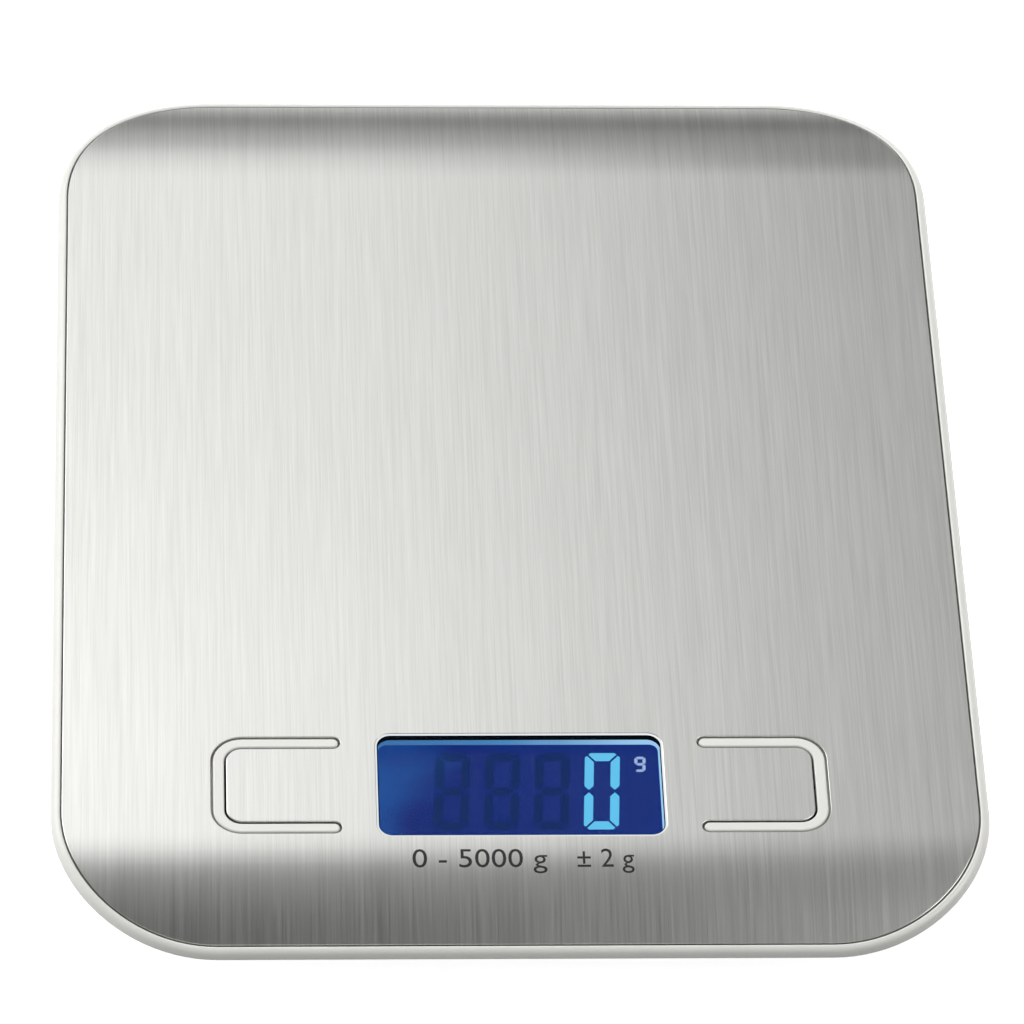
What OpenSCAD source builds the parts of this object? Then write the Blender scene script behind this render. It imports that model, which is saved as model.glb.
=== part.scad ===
// Slim digital gram scale: a rolled stainless weighing platform with two sprung keys and a
// backlit display, on a white moulded housing that stands on four sensor feet.
// Millimetres, +Z up, +X to the right, -Y to the user. Origin: centre of the footprint, on the table.

/* [Platform] */
// Width of the steel sheet
platform_w = 159; // [150:1:175]
// Depth of the steel sheet, measured on the flat
platform_d = 202.6; // [190:0.2:220]
// Corner radius of the sheet
corner_r = 26.8; // [22:0.1:30]
// Thickness of the sheet
sheet_t = 0.5; // [0.4:0.05:0.7]
// Height of the weighing surface above the table
top_h = 17; // [16.8:0.1:20]
// Length over which the front and the back edge roll down
roll_len = 22; // [14:0.5:24]
// How far the front and back edges drop
roll_drop = 3.45; // [2:0.05:3.6]

/* [Housing] */
// How far the white lip stands out past the sheet
lip_out = 1.95; // [1.5:0.05:3]
// Width of the gap between the sheet and the lip
lip_gap = 0.3; // [0.2:0.05:0.5]
// Depth of the lip's widest line below the edge of the sheet
lip_fall = 1.5; // [1.2:0.05:2]
// Thickness of the deck under the sheet
deck_t = 1.5; // [1.2:0.1:1.8]
// Wall of the mouldings
wall = 1.6; // [1.2:0.1:2]
// Height of the parting line between the two mouldings
parting_h = 8.5; // [8:0.1:9]
// How far the parting line lies inside the edge of the sheet
parting_in = 4; // [3:0.1:6]
// How far the flat underside starts inside the edge of the sheet
base_in = 13; // [11:0.5:16]
// Height of the underside above the table
base_h = 2; // [1.6:0.1:2.4]
// Running clearance between separate pieces
clear = 0.1; // [0.05:0.01:0.15]

/* [Display] */
// Width of the display opening
window_w = 50.2; // [44:0.1:54]
// Depth of the display opening
window_d = 23.1; // [20:0.1:25]
// Corner radius of the display opening
window_r = 2.7; // [1.5:0.1:4]
// Distance of the middle of the display and keys inside the front edge
panel_in = 32.55; // [31.5:0.05:35]
// How far the window lies below the weighing surface
window_sink = 0.3; // [0.1:0.05:0.5]
// Thickness of the window's flange
flange_t = 0.8; // [0.6:0.1:1]
// Thickness of the display glass
glass_t = 2; // [1.6:0.1:2.2]
// Thickness of the light guide
guide_t = 2; // [1.6:0.1:2.2]

/* [Keys] */
// Distance of the middle of the key slot's end from the centre line
key_tip = 52.4; // [51:0.1:56]
// Half height of the slot's middle line
key_half = 9.5; // [8:0.1:10.5]
// Corner radius of the slot's middle line
key_r = 4.05; // [3:0.05:5]
// Distance of the key's bending line from the centre line
key_root = 32.5; // [31:0.1:34]
// Width of the slot cut in the sheet
slot_w = 2.66; // [2:0.02:3.2]
// Width of the white rib that fills the slot
rib_w = 1.96; // [1.4:0.02:2.2]
// How far the rib stays below the weighing surface
rib_sink = 0.05; // [0.02:0.01:0.2]
// Distance of the switch from the centre line
switch_x = 46; // [42:0.5:47]
// Thickness of the stiffener under a key
stiffener_t = 1.2; // [1:0.1:1.3]

/* [Board] */
// Width of the circuit board
board_w = 104; // [98:1:108]
// Depth of the circuit board
board_d = 35; // [34:0.5:37]
// Thickness of the circuit board
board_t = 1.2; // [1:0.1:1.6]
// Height of the board's upper face
board_top = 9; // [8.8:0.1:9.2]

/* [Feet] */
// Distance of a foot's middle inside the side edge of the sheet
foot_in_x = 27.5; // [26:0.5:31]
// Distance of a foot's middle inside the front or back edge of the sheet
foot_in_y = 26.3; // [25:0.1:31]
// Radius of a foot
foot_r = 9; // [7:0.1:9.5]
// Radius of the rubber pad
pad_r = 7.8; // [5:0.1:8]
// How far a foot sinks before it meets its stop
foot_travel = 0.3; // [0.1:0.05:0.35]
// Side of the square load cell
cell_w = 27; // [26:0.5:29]
// Thickness of the load cell
cell_t = 1; // [0.8:0.1:1.2]

/* [Battery bay] */
// Distance of the battery bay behind the centre
bay_y = 16; // [5:1:26]
// Radius of a cell
battery_r = 5.25; // [5.1:0.05:5.25]
// Length of a cell without its button
battery_len = 43.5; // [42:0.1:43.7]
// Inside length of the bay
bay_len = 51; // [50:0.5:54]
// Thickness of the battery door
door_t = 1.4; // [1.2:0.1:1.5]

/* [Hidden] */
$fn = 96;
eps = 0.01;
half_w = platform_w / 2;
half_d = platform_d / 2;
foot_x = half_w - foot_in_x;
foot_y = half_d - foot_in_y;
panel_y = half_d - panel_in;
roll_y = half_d - roll_len;                                  // where the flat ends
roll_r = (roll_len * roll_len + roll_drop * roll_drop) / (2 * roll_drop);
roll_a = asin(roll_len / roll_r);
deck_top = top_h - sheet_t;
deck_low = deck_top - deck_t;
floor_top = base_h + wall;

// Lip section
lip_rise = lip_fall - 0.03;       // height of the lip's upper quarter
lip_root = lip_gap + 0.1;         // where the lip's upper quarter starts
lip_belly = 0.8;                  // height of the lip's lower quarter
lip_seat = sheet_t + 1;           // depth at which the lip runs under the deck
lip_join = sheet_t + 0.6;         // depth of the lip's inner end, within the deck
deck_in = 0.3;                    // how far the deck stays inside the sheet's edge
lip_in = 2.6;                     // how far it runs in
skirt_top = 2.6;                  // depth at which the skirt leaves the lip
skirt_in = 0.6;                   // and how far inside the sheet's edge
corner_steps = 12;
deck_rib = 1.2;                   // stiffening ribs under the deck
deck_rib_drop = 2.6;
tongue_t = 1.2;                   // locating rim of the base
tongue_h = 1.5;

// Keys
key_inner_half = key_half - slot_w / 2;
key_inner_tip = key_tip - slot_w / 2;
key_inner_r = key_r - slot_w / 2;
key_well_half = key_half - rib_w / 2;
key_well_tip = key_tip - rib_w / 2;
key_well_r = key_r - rib_w / 2;
rib_groove = 0.8;                 // depth of the groove between a rib and the deck

// Display stack, from the top down
window_top = top_h - window_sink;
window_gap = 0.2;
flange_out = 1.9;
window_seat = surface_z(panel_y + window_d / 2 + flange_out) - sheet_t - deck_t - 0.05;
glass_w = window_w + 5.4;
glass_d = window_d + 6.5;
glass_top = window_seat - flange_t - clear;
glass_low = glass_top - glass_t;
guide_w = glass_w - 3;
guide_d = glass_d - 6;
guide_low = glass_low - clear - guide_t;
frame_wall = 2.2;
frame_w = glass_w + 2 * (frame_wall + clear);
frame_d = glass_d + 2 * (frame_wall + clear);
frame_r = 2;
foil_t = 0.2;
zebra_t = 1.8;
led_count = 3;
led_step = 15;
board_low = board_top - board_t;

// Parts under the board
chip_w = 2;
chip_d = 1.2;
chip_h = 0.6;
chip_row = 4;                     // distance of a row from the middle of the board
crystal_x = 28;
crystal_r = 2.5;
crystal_h = 1.9;

// Switches
switch_w = 6;
switch_h = 3.5;
switch_top = board_top + switch_h;
plunger_r = 1.7;
plunger_up = 0.8;
plunger_down = 0.5;
plunger_room = 0.4;
plunger_top = switch_top + plunger_up;
post_r = 2;

// Fasteners
screw_r = 1.4;
screw_head_r = 2.6;
screw_head_h = 1.5;
screw_len = 7.5;
pilot_clear = 0.05;
boss_r = 3;
boss_low = 5.4;
recess_r = 3;
side_screw_x = half_w - 13.5;
side_screw_y = foot_y - 31;       // inside the load cells
front_screw_y = panel_y - 22.75;  // behind the board
back_screw_y = half_d - 13.3;
housing_screws_at = [
    [-side_screw_x, -side_screw_y], [side_screw_x, -side_screw_y],
    [-side_screw_x, side_screw_y], [side_screw_x, side_screw_y],
    [0, -front_screw_y], [0, back_screw_y]
];
board_boss_r = 2.6;
board_screw_len = 5;
board_screw_x = 35;
board_screw_y = 14;

// Feet and load cells
foot_gap = 0.4;
foot_flange = 1.4;
foot_flange_t = 0.8;
foot_low = 1;
pad_seat = 0.6;
cell_low = floor_top + 2;
cell_top = cell_low + cell_t;
cell_post = cell_w / 2 - 2.5;      // distance of a post from the middle, each way
cell_post_r = 2;
stake_r = 1;
stake_head_r = 1.7;
stake_head_h = 0.6;
stem_r = 3;
stem_top = cell_low - foot_travel - 0.05;
flange_low = floor_top + 0.02;
cell_slot = 1.6;
gauge_w = 8;
gauge_d = 5;
gauge_t = 0.4;

// Battery bay
battery_gap = 0.6;
cell_pitch = 2 * battery_r + battery_gap;
bay_w = cell_pitch + 2 * battery_r + 1;
bay_wall = 1.2;
bay_roof = 0.5;
battery_z = floor_top + battery_r;
battery_top = battery_z + battery_r;
bay_top = battery_top + 0.15;
door_w = bay_len + 5;
door_d = bay_w + 4;
door_gap = 0.3;
door_y = bay_y;
hook_w = 8;
hook_x = 16;
hook_len = 1.8;
hook_t = 1;
latch_w = 12;
latch_len = 6;                     // length of the slits beside the latch
latch_slit = 0.8;
grip_w = 9;                        // finger grooves in the latch
grip_step = 1.5;
grip_count = 4;
grip_deep = 0.4;
notch_out = 5;                     // reach of the finger notch in front of the latch
notch_deep = 0.9;
notch_r = 2;
end_room = (bay_len - battery_len) / 2;    // between a cell's flat end and the bay's end wall
contact_t = 0.4;
spring_wire = 0.4;
spring_turns = 4;
spring_r = 3.6;                            // at the wall
spring_tip_r = 2;                          // at the cell
plate_w = 8;
button_r = 1.9;
button_h = 0.9;

// Leads
lead_r = 0.8;
lead_z = floor_top + lead_r + 0.2;
lead_bend = 4;                    // length of the run down to the floor
battery_lead_x = 10;              // where the battery leads meet the board

// ---- Shared shapes ----

// Height of the weighing surface at a distance from the centre, front or back
function surface_z(y) =
    let (s = max(0, abs(y) - roll_y))
    top_h - roll_r + sqrt(roll_r * roll_r - s * s);

// Rounded rectangle about the origin
module slab2d(w, d, r) {
    square([w - 2 * r, d], center = true);
    square([w, d - 2 * r], center = true);
    for (x = [-1, 1], y = [-1, 1])
        translate([x * (w / 2 - r), y * (d / 2 - r)]) circle(r);
}

// Rounded block between two heights
module slab(w, d, r, low, high) {
    translate([0, 0, low]) linear_extrude(high - low) slab2d(w, d, r);
}

// Outline of the sheet, moved outwards by grow
module outline2d(grow) {
    slab2d(platform_w + 2 * grow, platform_d + 2 * grow, corner_r + grow);
}

// A layer that follows the weighing surface, between two depths below it
module rolled_layer(depth, thick, grow) {
    span = platform_w + 10;
    intersection() {
        translate([0, 0, base_h]) linear_extrude(top_h) outline2d(grow);
        union() {
            translate([-span / 2, -roll_y, top_h - depth - thick]) cube([span, 2 * roll_y, thick]);
            for (side = [0, 1])
                mirror([0, side, 0])
                    translate([-span / 2, roll_y, top_h - roll_r])
                        rotate([0, 90, 0]) rotate([0, 0, 178 - roll_a])
                            rotate_extrude(angle = roll_a + 2)
                                translate([roll_r - depth - thick, 0]) square([thick, span]);
        }
    }
}

// Sweeps a section round the outline: x of the section is the distance outside the sheet's edge
module round_outline() {
    for (x = [0, 1], y = [0, 1])
        mirror([x, 0, 0]) mirror([0, y, 0])
            translate([half_w - corner_r, half_d - corner_r])
                rotate_extrude(angle = 90) translate([corner_r, 0]) children();
    for (side = [0, 1]) {
        mirror([side, 0, 0])
            translate([half_w, half_d - corner_r, 0])
                rotate([90, 0, 0]) linear_extrude(platform_d - 2 * corner_r) children();
        mirror([0, side, 0])
            translate([corner_r - half_w, half_d, 0])
                rotate([90, 0, 90]) linear_extrude(platform_w - 2 * corner_r) children();
    }
}

// The U-shaped path of a key's slot, as a band about its middle line
module key_band2d(band) {
    h = band / 2;
    bend_x = key_tip - key_r;
    bend_y = key_half - key_r;
    for (side = [-1, 1]) {
        translate([key_root, side * key_half - h]) square([bend_x - key_root, band]);
        translate([key_root, side * key_half]) circle(h);
        translate([bend_x, side * bend_y])
            intersection() {
                difference() {
                    circle(key_r + h);
                    circle(key_r - h);
                }
                translate([0, side > 0 ? 0 : -2 * key_r]) square(2 * key_r);
            }
    }
    translate([key_tip - h, -bend_y]) square([band, 2 * bend_y]);
}

// A tongue from the bending line to a tip with two round corners
module tongue2d(tip, half, r) {
    translate([key_root, -half]) square([tip - r - key_root, 2 * half]);
    translate([key_root, r - half]) square([tip - key_root, 2 * (half - r)]);
    for (side = [-1, 1]) translate([tip - r, side * (half - r)]) circle(r);
}

// Puts a right-hand key's piece in its place, or its mirror image at the left
module at_key(left) {
    mirror([left ? 1 : 0, 0, 0]) translate([0, -panel_y, 0]) children();
}

module at_feet(fx, fy) {
    translate([fx * foot_x, fy * foot_y, 0]) children();
}

// ---- Platform and keys ----

module steel_platform() {
    color("silver")
        difference() {
            rolled_layer(0, sheet_t, 0);
            for (left = [true, false])
                at_key(left)
                    translate([0, 0, top_h - 1]) linear_extrude(2) {
                        key_band2d(slot_w);
                        tongue2d(key_inner_tip, key_inner_half, key_inner_r);
                    }
            translate([0, -panel_y, 0])
                slab(window_w, window_d, window_r, top_h - 1, top_h + 1);
        }
}

// The steel tongue between the limbs of the slot
module key_tongue(left) {
    color("silver")
        at_key(left)
            translate([0, 0, deck_top]) linear_extrude(sheet_t)
                tongue2d(key_inner_tip, key_inner_half, key_inner_r);
}

module tare_key() { key_tongue(true); }
module unit_key() { key_tongue(false); }

// Moulded plate under the tongue, with the post that meets the switch
module stiffener(left) {
    margin = 1;
    low = deck_top - stiffener_t;
    color("whitesmoke")
        at_key(left) {
            translate([0, 0, low]) linear_extrude(stiffener_t)
                intersection() {
                    tongue2d(key_inner_tip - margin, key_inner_half - margin, key_inner_r - margin);
                    translate([key_root + margin, -key_half]) square([key_tip, 2 * key_half]);
                }
            translate([switch_x, 0, plunger_top + clear]) cylinder(low - plunger_top, r = post_r);
            for (turn = [0, 90])
                translate([switch_x, 0, 0]) rotate(turn)
                    translate([-post_r - 1.5, -0.5, low - 0.6]) cube([2 * post_r + 3, 1, 0.7]);
        }
}

module tare_stiffener() { stiffener(true); }
module unit_stiffener() { stiffener(false); }

// ---- Upper housing ----

// Section of the lip and skirt at a place where the sheet's edge is at height z
function lip_section(z) = concat(
    [[-lip_in, z - lip_join], [lip_gap, z - lip_seat], [lip_gap, z - 0.15]],
    [for (a = [84 : -14 : 0])
        [lip_root + (lip_out - lip_root) * cos(a), z - lip_fall + lip_rise * sin(a)]],
    [for (a = [-24 : -22 : -68])
        [lip_root + (lip_out - lip_root) * cos(a), z - lip_fall + lip_belly * sin(a)]],
    [[lip_root, z - lip_fall - lip_belly]],
    [for (a = [0 : 30 : 90])
        let (top = z - skirt_top)
        [-skirt_in - (parting_in - skirt_in) * sin(a), parting_h + (top - parting_h) * cos(a)]],
    [[-parting_in - wall, parting_h]],
    [for (a = [60 : -30 : 0])
        let (top = z - skirt_top - 0.4)
        [-lip_in - (parting_in + wall - lip_in) * sin(a), parting_h + (top - parting_h) * cos(a)]]
);

// Stations round the outline, as [x, y, direction] of the sheet's edge
stations = [
    for (q = [0 : 3], i = [0 : corner_steps])
        let (
            a = 90 * q + 90 * i / corner_steps,
            sx = (q == 0 || q == 3) ? 1 : -1,
            sy = q < 2 ? 1 : -1
        )
        [
            sx * (half_w - corner_r) + corner_r * cos(a),
            sy * (half_d - corner_r) + corner_r * sin(a),
            a
        ]
];

// Lip and skirt, lofted round the outline so that they follow the rolled edges
module lip_loft() {
    sections = [
        for (s = stations)
            [for (p = lip_section(surface_z(s.y)))
                [s.x + p.x * cos(s.z), s.y + p.x * sin(s.z), p.y]]
    ];
    count = len(sections);
    size = len(sections[0]);
    points = [for (s = sections) each s];
    faces = [
        for (i = [0 : count - 1], j = [0 : size - 1])
            let (
                ni = (i + 1) % count,
                nj = (j + 1) % size,
                a = i * size + j,
                b = ni * size + j,
                c = ni * size + nj,
                d = i * size + nj
            )
            each [[a, b, c], [a, c, d]]
    ];
    polyhedron(points, faces, convexity = 6);
}

// Stiffening ribs under the deck, clear of the bay and the board
module deck_ribs() {
    low = deck_low - deck_rib_drop;
    high = deck_rib_drop + 0.5;
    front = panel_y - board_d / 2 - 3.25;
    back = half_d - 21.3;
    inner_x = foot_x - 17;
    outer_x = foot_x + 8;
    for (x = [-1, 1]) {
        translate([x * inner_x - deck_rib / 2, -front, low]) cube([deck_rib, front + back, high]);
        translate([x * outer_x - deck_rib / 2, -front, low]) cube([deck_rib, 2 * front, high]);
    }
    for (y = [-front, foot_y - 35, foot_y - 13])
        translate([-outer_x, y, low]) cube([2 * outer_x, deck_rib, high]);
}

module upper_housing() {
    color("white")
        difference() {
            union() {
                rolled_layer(sheet_t, deck_t, -deck_in);
                lip_loft();
                for (left = [true, false])
                    at_key(left)
                        translate([0, 0, deck_top - eps])
                            linear_extrude(sheet_t - rib_sink + eps) key_band2d(rib_w);
                deck_ribs();
                for (at = housing_screws_at)
                    translate([at.x, at.y, boss_low])
                        cylinder(surface_z(at.y) - sheet_t - 0.5 - boss_low, r = boss_r);
                for (x = [-1, 1], y = [-1, 1])
                    translate([x * board_screw_x, y * board_screw_y - panel_y, board_top])
                        cylinder(deck_low + 0.5 - board_top, r = board_boss_r);
            }
            translate([0, -panel_y, 0])
                slab(window_w, window_d, window_r, deck_low - 5, top_h + 1);
            for (left = [true, false])
                at_key(left) {
                    translate([0, 0, deck_low - 1]) linear_extrude(deck_t + 2)
                        tongue2d(key_well_tip, key_well_half, key_well_r);
                    translate([0, 0, deck_top - rib_groove]) linear_extrude(deck_t)
                        difference() {
                            key_band2d(slot_w);
                            key_band2d(rib_w);
                        }
                }
            for (at = housing_screws_at)
                translate([at.x, at.y, boss_low - 1])
                    cylinder(screw_len, r = screw_r + pilot_clear);
            for (x = [-1, 1], y = [-1, 1])
                translate([x * board_screw_x, y * board_screw_y - panel_y, board_top - 1])
                    cylinder(board_screw_len, r = screw_r + pilot_clear);
        }
}

// ---- Lower housing ----

// Section of the base's curved wall, a quarter of an ellipse on both faces
module hull_section2d() {
    rise = parting_h - base_h;
    run = base_in - parting_in;
    polygon(concat(
        [for (a = [0 : 10 : 90]) [run * cos(a) - base_in, parting_h - rise * sin(a)]],
        [for (a = [90 : -10 : 0])
            [(run - wall) * cos(a) - base_in, parting_h - (rise - wall) * sin(a)]]
    ));
    translate([-parting_in - wall - clear - tongue_t, parting_h - 1])
        square([tongue_t, tongue_h + 1]);
    translate([-parting_in - wall - clear - tongue_t, parting_h - 1])
        square([tongue_t + clear + wall / 2, 0.6]);
}

module lower_housing() {
    color("white")
        difference() {
            union() {
                round_outline() hull_section2d();
                slab(platform_w - 2 * base_in + eps, platform_d - 2 * base_in + eps,
                    corner_r - base_in, base_h, floor_top);
                bay_box();
                for (at = housing_screws_at)
                    translate([at.x, at.y, base_h]) cylinder(boss_low - base_h, r = boss_r + 1.2);
                for (fx = [-1, 1], fy = [-1, 1]) at_feet(fx, fy) cell_posts();
            }
            for (fx = [-1, 1], fy = [-1, 1])
                at_feet(fx, fy) translate([0, 0, base_h - 1])
                    cylinder(wall + 2, r = foot_r + foot_gap);
            for (at = housing_screws_at)
                translate([at.x, at.y, base_h - 1]) {
                    cylinder(boss_low, r = screw_r + 0.2);
                    cylinder(boss_low - base_h, r = recess_r);
                }
            bay_cut();
        }
}

// Four posts under a load cell, each with a stake through the cell and its melted head
module cell_posts() {
    for (x = [-1, 1], y = [-1, 1])
        translate([x * cell_post, y * cell_post, 0]) {
            translate([0, 0, floor_top - 0.5]) cylinder(cell_low - floor_top + 0.5, r = cell_post_r);
            translate([0, 0, cell_low - 0.5]) cylinder(cell_t + 0.6, r = stake_r);
            translate([0, 0, cell_top + 0.05]) cylinder(stake_head_h, r = stake_head_r);
        }
}

// Walls and roof of the battery bay
module bay_box() {
    translate([0, bay_y, 0])
        difference() {
            slab(bay_len + 2 * bay_wall, bay_w + 2 * bay_wall, 1.5, floor_top - 0.5,
                bay_top + bay_roof);
            translate([-bay_len / 2, -bay_w / 2, base_h])
                cube([bay_len, bay_w, bay_top - base_h]);
        }
}

// Openings of the bay: the door's recess, the way in, the hook slots and the finger notch
module bay_cut() {
    translate([0, door_y, 0]) {
        slab(door_w + 2 * door_gap, door_d + 2 * door_gap, 2, base_h - 1, base_h + door_t + 0.1);
        translate([-bay_len / 2, -bay_w / 2, base_h - 1]) cube([bay_len, bay_w, wall + 2]);
        for (x = [-1, 1])
            translate([x * hook_x - hook_w / 2 - 0.4, bay_w / 2 - 0.5, base_h - 1])
                cube([hook_w + 0.8, (door_d - bay_w) / 2 + hook_len + 1.2, base_h + 3]);
        translate([0, -door_d / 2, 0])
            slab(latch_w, 2 * notch_out, notch_r, base_h - 1, base_h + notch_deep);
    }
}

// ---- Display ----

module display_window() {
    color([0.75, 0.85, 0.95, 0.4])
        translate([0, -panel_y, 0]) {
            slab(window_w - 2 * window_gap, window_d - 2 * window_gap, window_r - window_gap,
                window_seat - 0.2, window_top);
            slab(window_w + 2 * flange_out, window_d + 2 * flange_out, window_r + 1,
                window_seat - flange_t, window_seat);
        }
}

module lcd_panel() {
    color("midnightblue")
        translate([-glass_w / 2, -panel_y - glass_d / 2, glass_low]) cube([glass_w, glass_d, glass_t]);
}

// Black tray that holds the glass and the light guide over the board
module lcd_frame() {
    color("dimgray")
        translate([0, -panel_y, 0])
            difference() {
                slab(frame_w, frame_d, frame_r, board_top, glass_top);
                translate([-glass_w / 2 - clear, -glass_d / 2 - clear, glass_low - clear])
                    cube([glass_w + 2 * clear, glass_d + 2 * clear, glass_t + 1]);
                translate([-guide_w / 2 - clear, -guide_d / 2 - clear, board_top - 1])
                    cube([guide_w + 2 * clear, guide_d + 2 * clear, glass_t + guide_t + 4]);
                translate([-guide_w / 2, guide_d / 2 + 0.6, board_top - 1])
                    cube([guide_w, zebra_t + 0.2, glass_t + guide_t + 4]);
            }
}

module light_guide() {
    color([0.7, 0.9, 1])
        translate([-guide_w / 2, -panel_y - guide_d / 2, guide_low]) cube([guide_w, guide_d, guide_t]);
}

module reflector_foil() {
    color("white")
        translate([-guide_w / 2, -panel_y - guide_d / 2, guide_low - foil_t - 0.02])
            cube([guide_w, guide_d, foil_t]);
}

// Side-view lamps on the board at the right-hand end of the light guide
module backlight_leds() {
    color("lightyellow")
        for (i = [0 : led_count - 1])
            translate([guide_w / 2 - 4, -panel_y + (i - (led_count - 1) / 2) * led_step / 2, board_top])
                translate([-1, -1.5, 0]) cube([2, 3, guide_low - foil_t - 0.1 - board_top]);
}

module zebra_strip() {
    color("gray")
        translate([-guide_w / 2 + 1, -panel_y + guide_d / 2 + 0.7, board_top])
            cube([guide_w - 2, zebra_t, glass_low - board_top]);
}

// ---- Board ----

module main_board() {
    color("darkgreen")
        translate([0, -panel_y, 0])
            difference() {
                slab(board_w, board_d, 2, board_low, board_top);
                for (x = [-1, 1], y = [-1, 1])
                    translate([x * board_screw_x, y * board_screw_y, board_low - 1])
                        cylinder(board_t + 2, r = screw_r + 0.2);
            }
}

// Blob of epoxy over the bare controller die
module controller_chip() {
    blob_r = 6;
    blob_h = 1.4;
    ball_r = (blob_r * blob_r + blob_h * blob_h) / (2 * blob_h);
    color("black")
        translate([-14, -panel_y, board_low])
            intersection() {
                translate([0, 0, ball_r - blob_h]) sphere(ball_r);
                translate([0, 0, -blob_h]) cylinder(blob_h, r = blob_r);
            }
}

// Small resistors and capacitors on the underside of the board
module board_parts() {
    color("tan") {
        for (i = [0 : 5])
            translate([chip_w * (2 * i - 1), -panel_y + chip_row, board_low - chip_h])
                cube([chip_w, chip_d, chip_h]);
        for (i = [0 : 3])
            translate([chip_row * (1 + 1.25 * i), -panel_y - chip_row, board_low - chip_h])
                cube([chip_d, chip_w, chip_h]);
    }
    color("gray")
        translate([crystal_x, -panel_y - 2 * chip_row, board_low - crystal_h])
            cylinder(crystal_h, r = crystal_r);
}

module switch_case(left) {
    color("dimgray")
        at_key(left) translate([switch_x, 0, 0])
            difference() {
                translate([-switch_w / 2, -switch_w / 2, board_top])
                    cube([switch_w, switch_w, switch_h]);
                translate([0, 0, switch_top - plunger_down - plunger_room])
                    cylinder(switch_h, r = plunger_r + clear);
            }
}

module tare_switch() { switch_case(true); }
module unit_switch() { switch_case(false); }

module switch_plunger(left) {
    color("black")
        at_key(left)
            translate([switch_x, 0, switch_top - plunger_down])
                cylinder(plunger_down + plunger_up, r = plunger_r);
}

module tare_plunger() { switch_plunger(true); }
module unit_plunger() { switch_plunger(false); }

// ---- Load cells and feet ----

// Stamped plate: a square frame with a central tongue that the foot bends
module load_cell(fx, fy) {
    ring = 5;
    tongue = 7;
    inner = cell_w - 2 * ring;
    color("gainsboro")
        at_feet(fx, fy)
            difference() {
                slab(cell_w, cell_w, 3, cell_low, cell_top);
                for (x = [-1, 1])
                    translate([x * (tongue + cell_slot) / 2 - cell_slot / 2, -inner / 2, cell_low - 1])
                        cube([cell_slot, inner - 1, cell_t + 2]);
                translate([-tongue / 2 - cell_slot, -inner / 2, cell_low - 1])
                    cube([tongue + 2 * cell_slot, cell_slot, cell_t + 2]);
                for (x = [-1, 1], y = [-1, 1])
                    translate([x * cell_post, y * cell_post, cell_low - 1])
                        cylinder(cell_t + 2, r = 1 + pilot_clear);
            }
}

module load_cell_fl() { load_cell(-1, -1); }
module load_cell_fr() { load_cell(1, -1); }
module load_cell_bl() { load_cell(-1, 1); }
module load_cell_br() { load_cell(1, 1); }

module strain_gauges() {
    color("orange")
        for (fx = [-1, 1], fy = [-1, 1])
            at_feet(fx, fy)
                translate([-gauge_d / 2, 1, cell_top]) cube([gauge_d, gauge_w - 1, gauge_t]);
}

// Moulded foot: a disc through the base, a flange that holds it in, and the stem under the cell
module foot(fx, fy) {
    color("whitesmoke")
        at_feet(fx, fy)
            difference() {
                union() {
                    translate([0, 0, foot_low]) cylinder(flange_low + foot_flange_t - foot_low, r = foot_r);
                    translate([0, 0, flange_low]) cylinder(foot_flange_t, r = foot_r + foot_flange);
                    translate([0, 0, flange_low]) cylinder(stem_top - flange_low, r = stem_r);
                }
                translate([0, 0, foot_low - 1]) cylinder(pad_seat + 1, r = pad_r + clear);
            }
}

module foot_fl() { foot(-1, -1); }
module foot_fr() { foot(1, -1); }
module foot_bl() { foot(-1, 1); }
module foot_br() { foot(1, 1); }

module pad(fx, fy) {
    edge = 0.4;
    color("lightgray")
        at_feet(fx, fy) {
            cylinder(edge, r1 = pad_r - edge, r2 = pad_r);
            translate([0, 0, edge]) cylinder(foot_low + pad_seat - edge, r = pad_r);
        }
}

module pad_fl() { pad(-1, -1); }
module pad_fr() { pad(1, -1); }
module pad_bl() { pad(-1, 1); }
module pad_br() { pad(1, 1); }

// ---- Battery bay ----

module battery_door() {
    color("white")
        translate([0, door_y, 0])
            difference() {
                union() {
                    slab(door_w, door_d, 2 - door_gap, base_h, base_h + door_t);
                    for (x = [-1, 1])
                        translate([x * hook_x - hook_w / 2, door_d / 2 - 3, base_h + door_t - eps])
                            cube([hook_w, 3 + hook_len, hook_t + 0.3]);
                }
                for (x = [-1, 1])
                    translate([x * hook_x - hook_w / 2 - 1, door_d / 2 - eps, base_h + 1])
                        cube([hook_w + 2, hook_len + 1, floor_top + clear - base_h - 1]);
                for (x = [-1, 1])
                    translate([x * (latch_w + latch_slit) / 2 - latch_slit / 2, -door_d / 2 - 1, base_h - 1])
                        cube([latch_slit, latch_len + 1, door_t + 2]);
                for (i = [0 : grip_count - 1])
                    translate([-grip_w / 2, -door_d / 2 + grip_step * (i + 0.8), base_h - 1])
                        cube([grip_w, grip_step / 2, grip_deep + 1]);
            }
}

// An AAA cell lying along X; flip turns its button to the left
module battery(row, flip) {
    color("steelblue")
        translate([0, bay_y + row * cell_pitch / 2, battery_z])
            mirror([flip ? 1 : 0, 0, 0]) translate([-battery_len / 2, 0, 0]) rotate([0, 90, 0]) {
                cylinder(battery_len, r = battery_r);
                translate([0, 0, battery_len - eps]) cylinder(button_h + eps, r = button_r);
            }
}

module battery_front() { battery(-1, false); }
module battery_back() { battery(1, true); }

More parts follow.
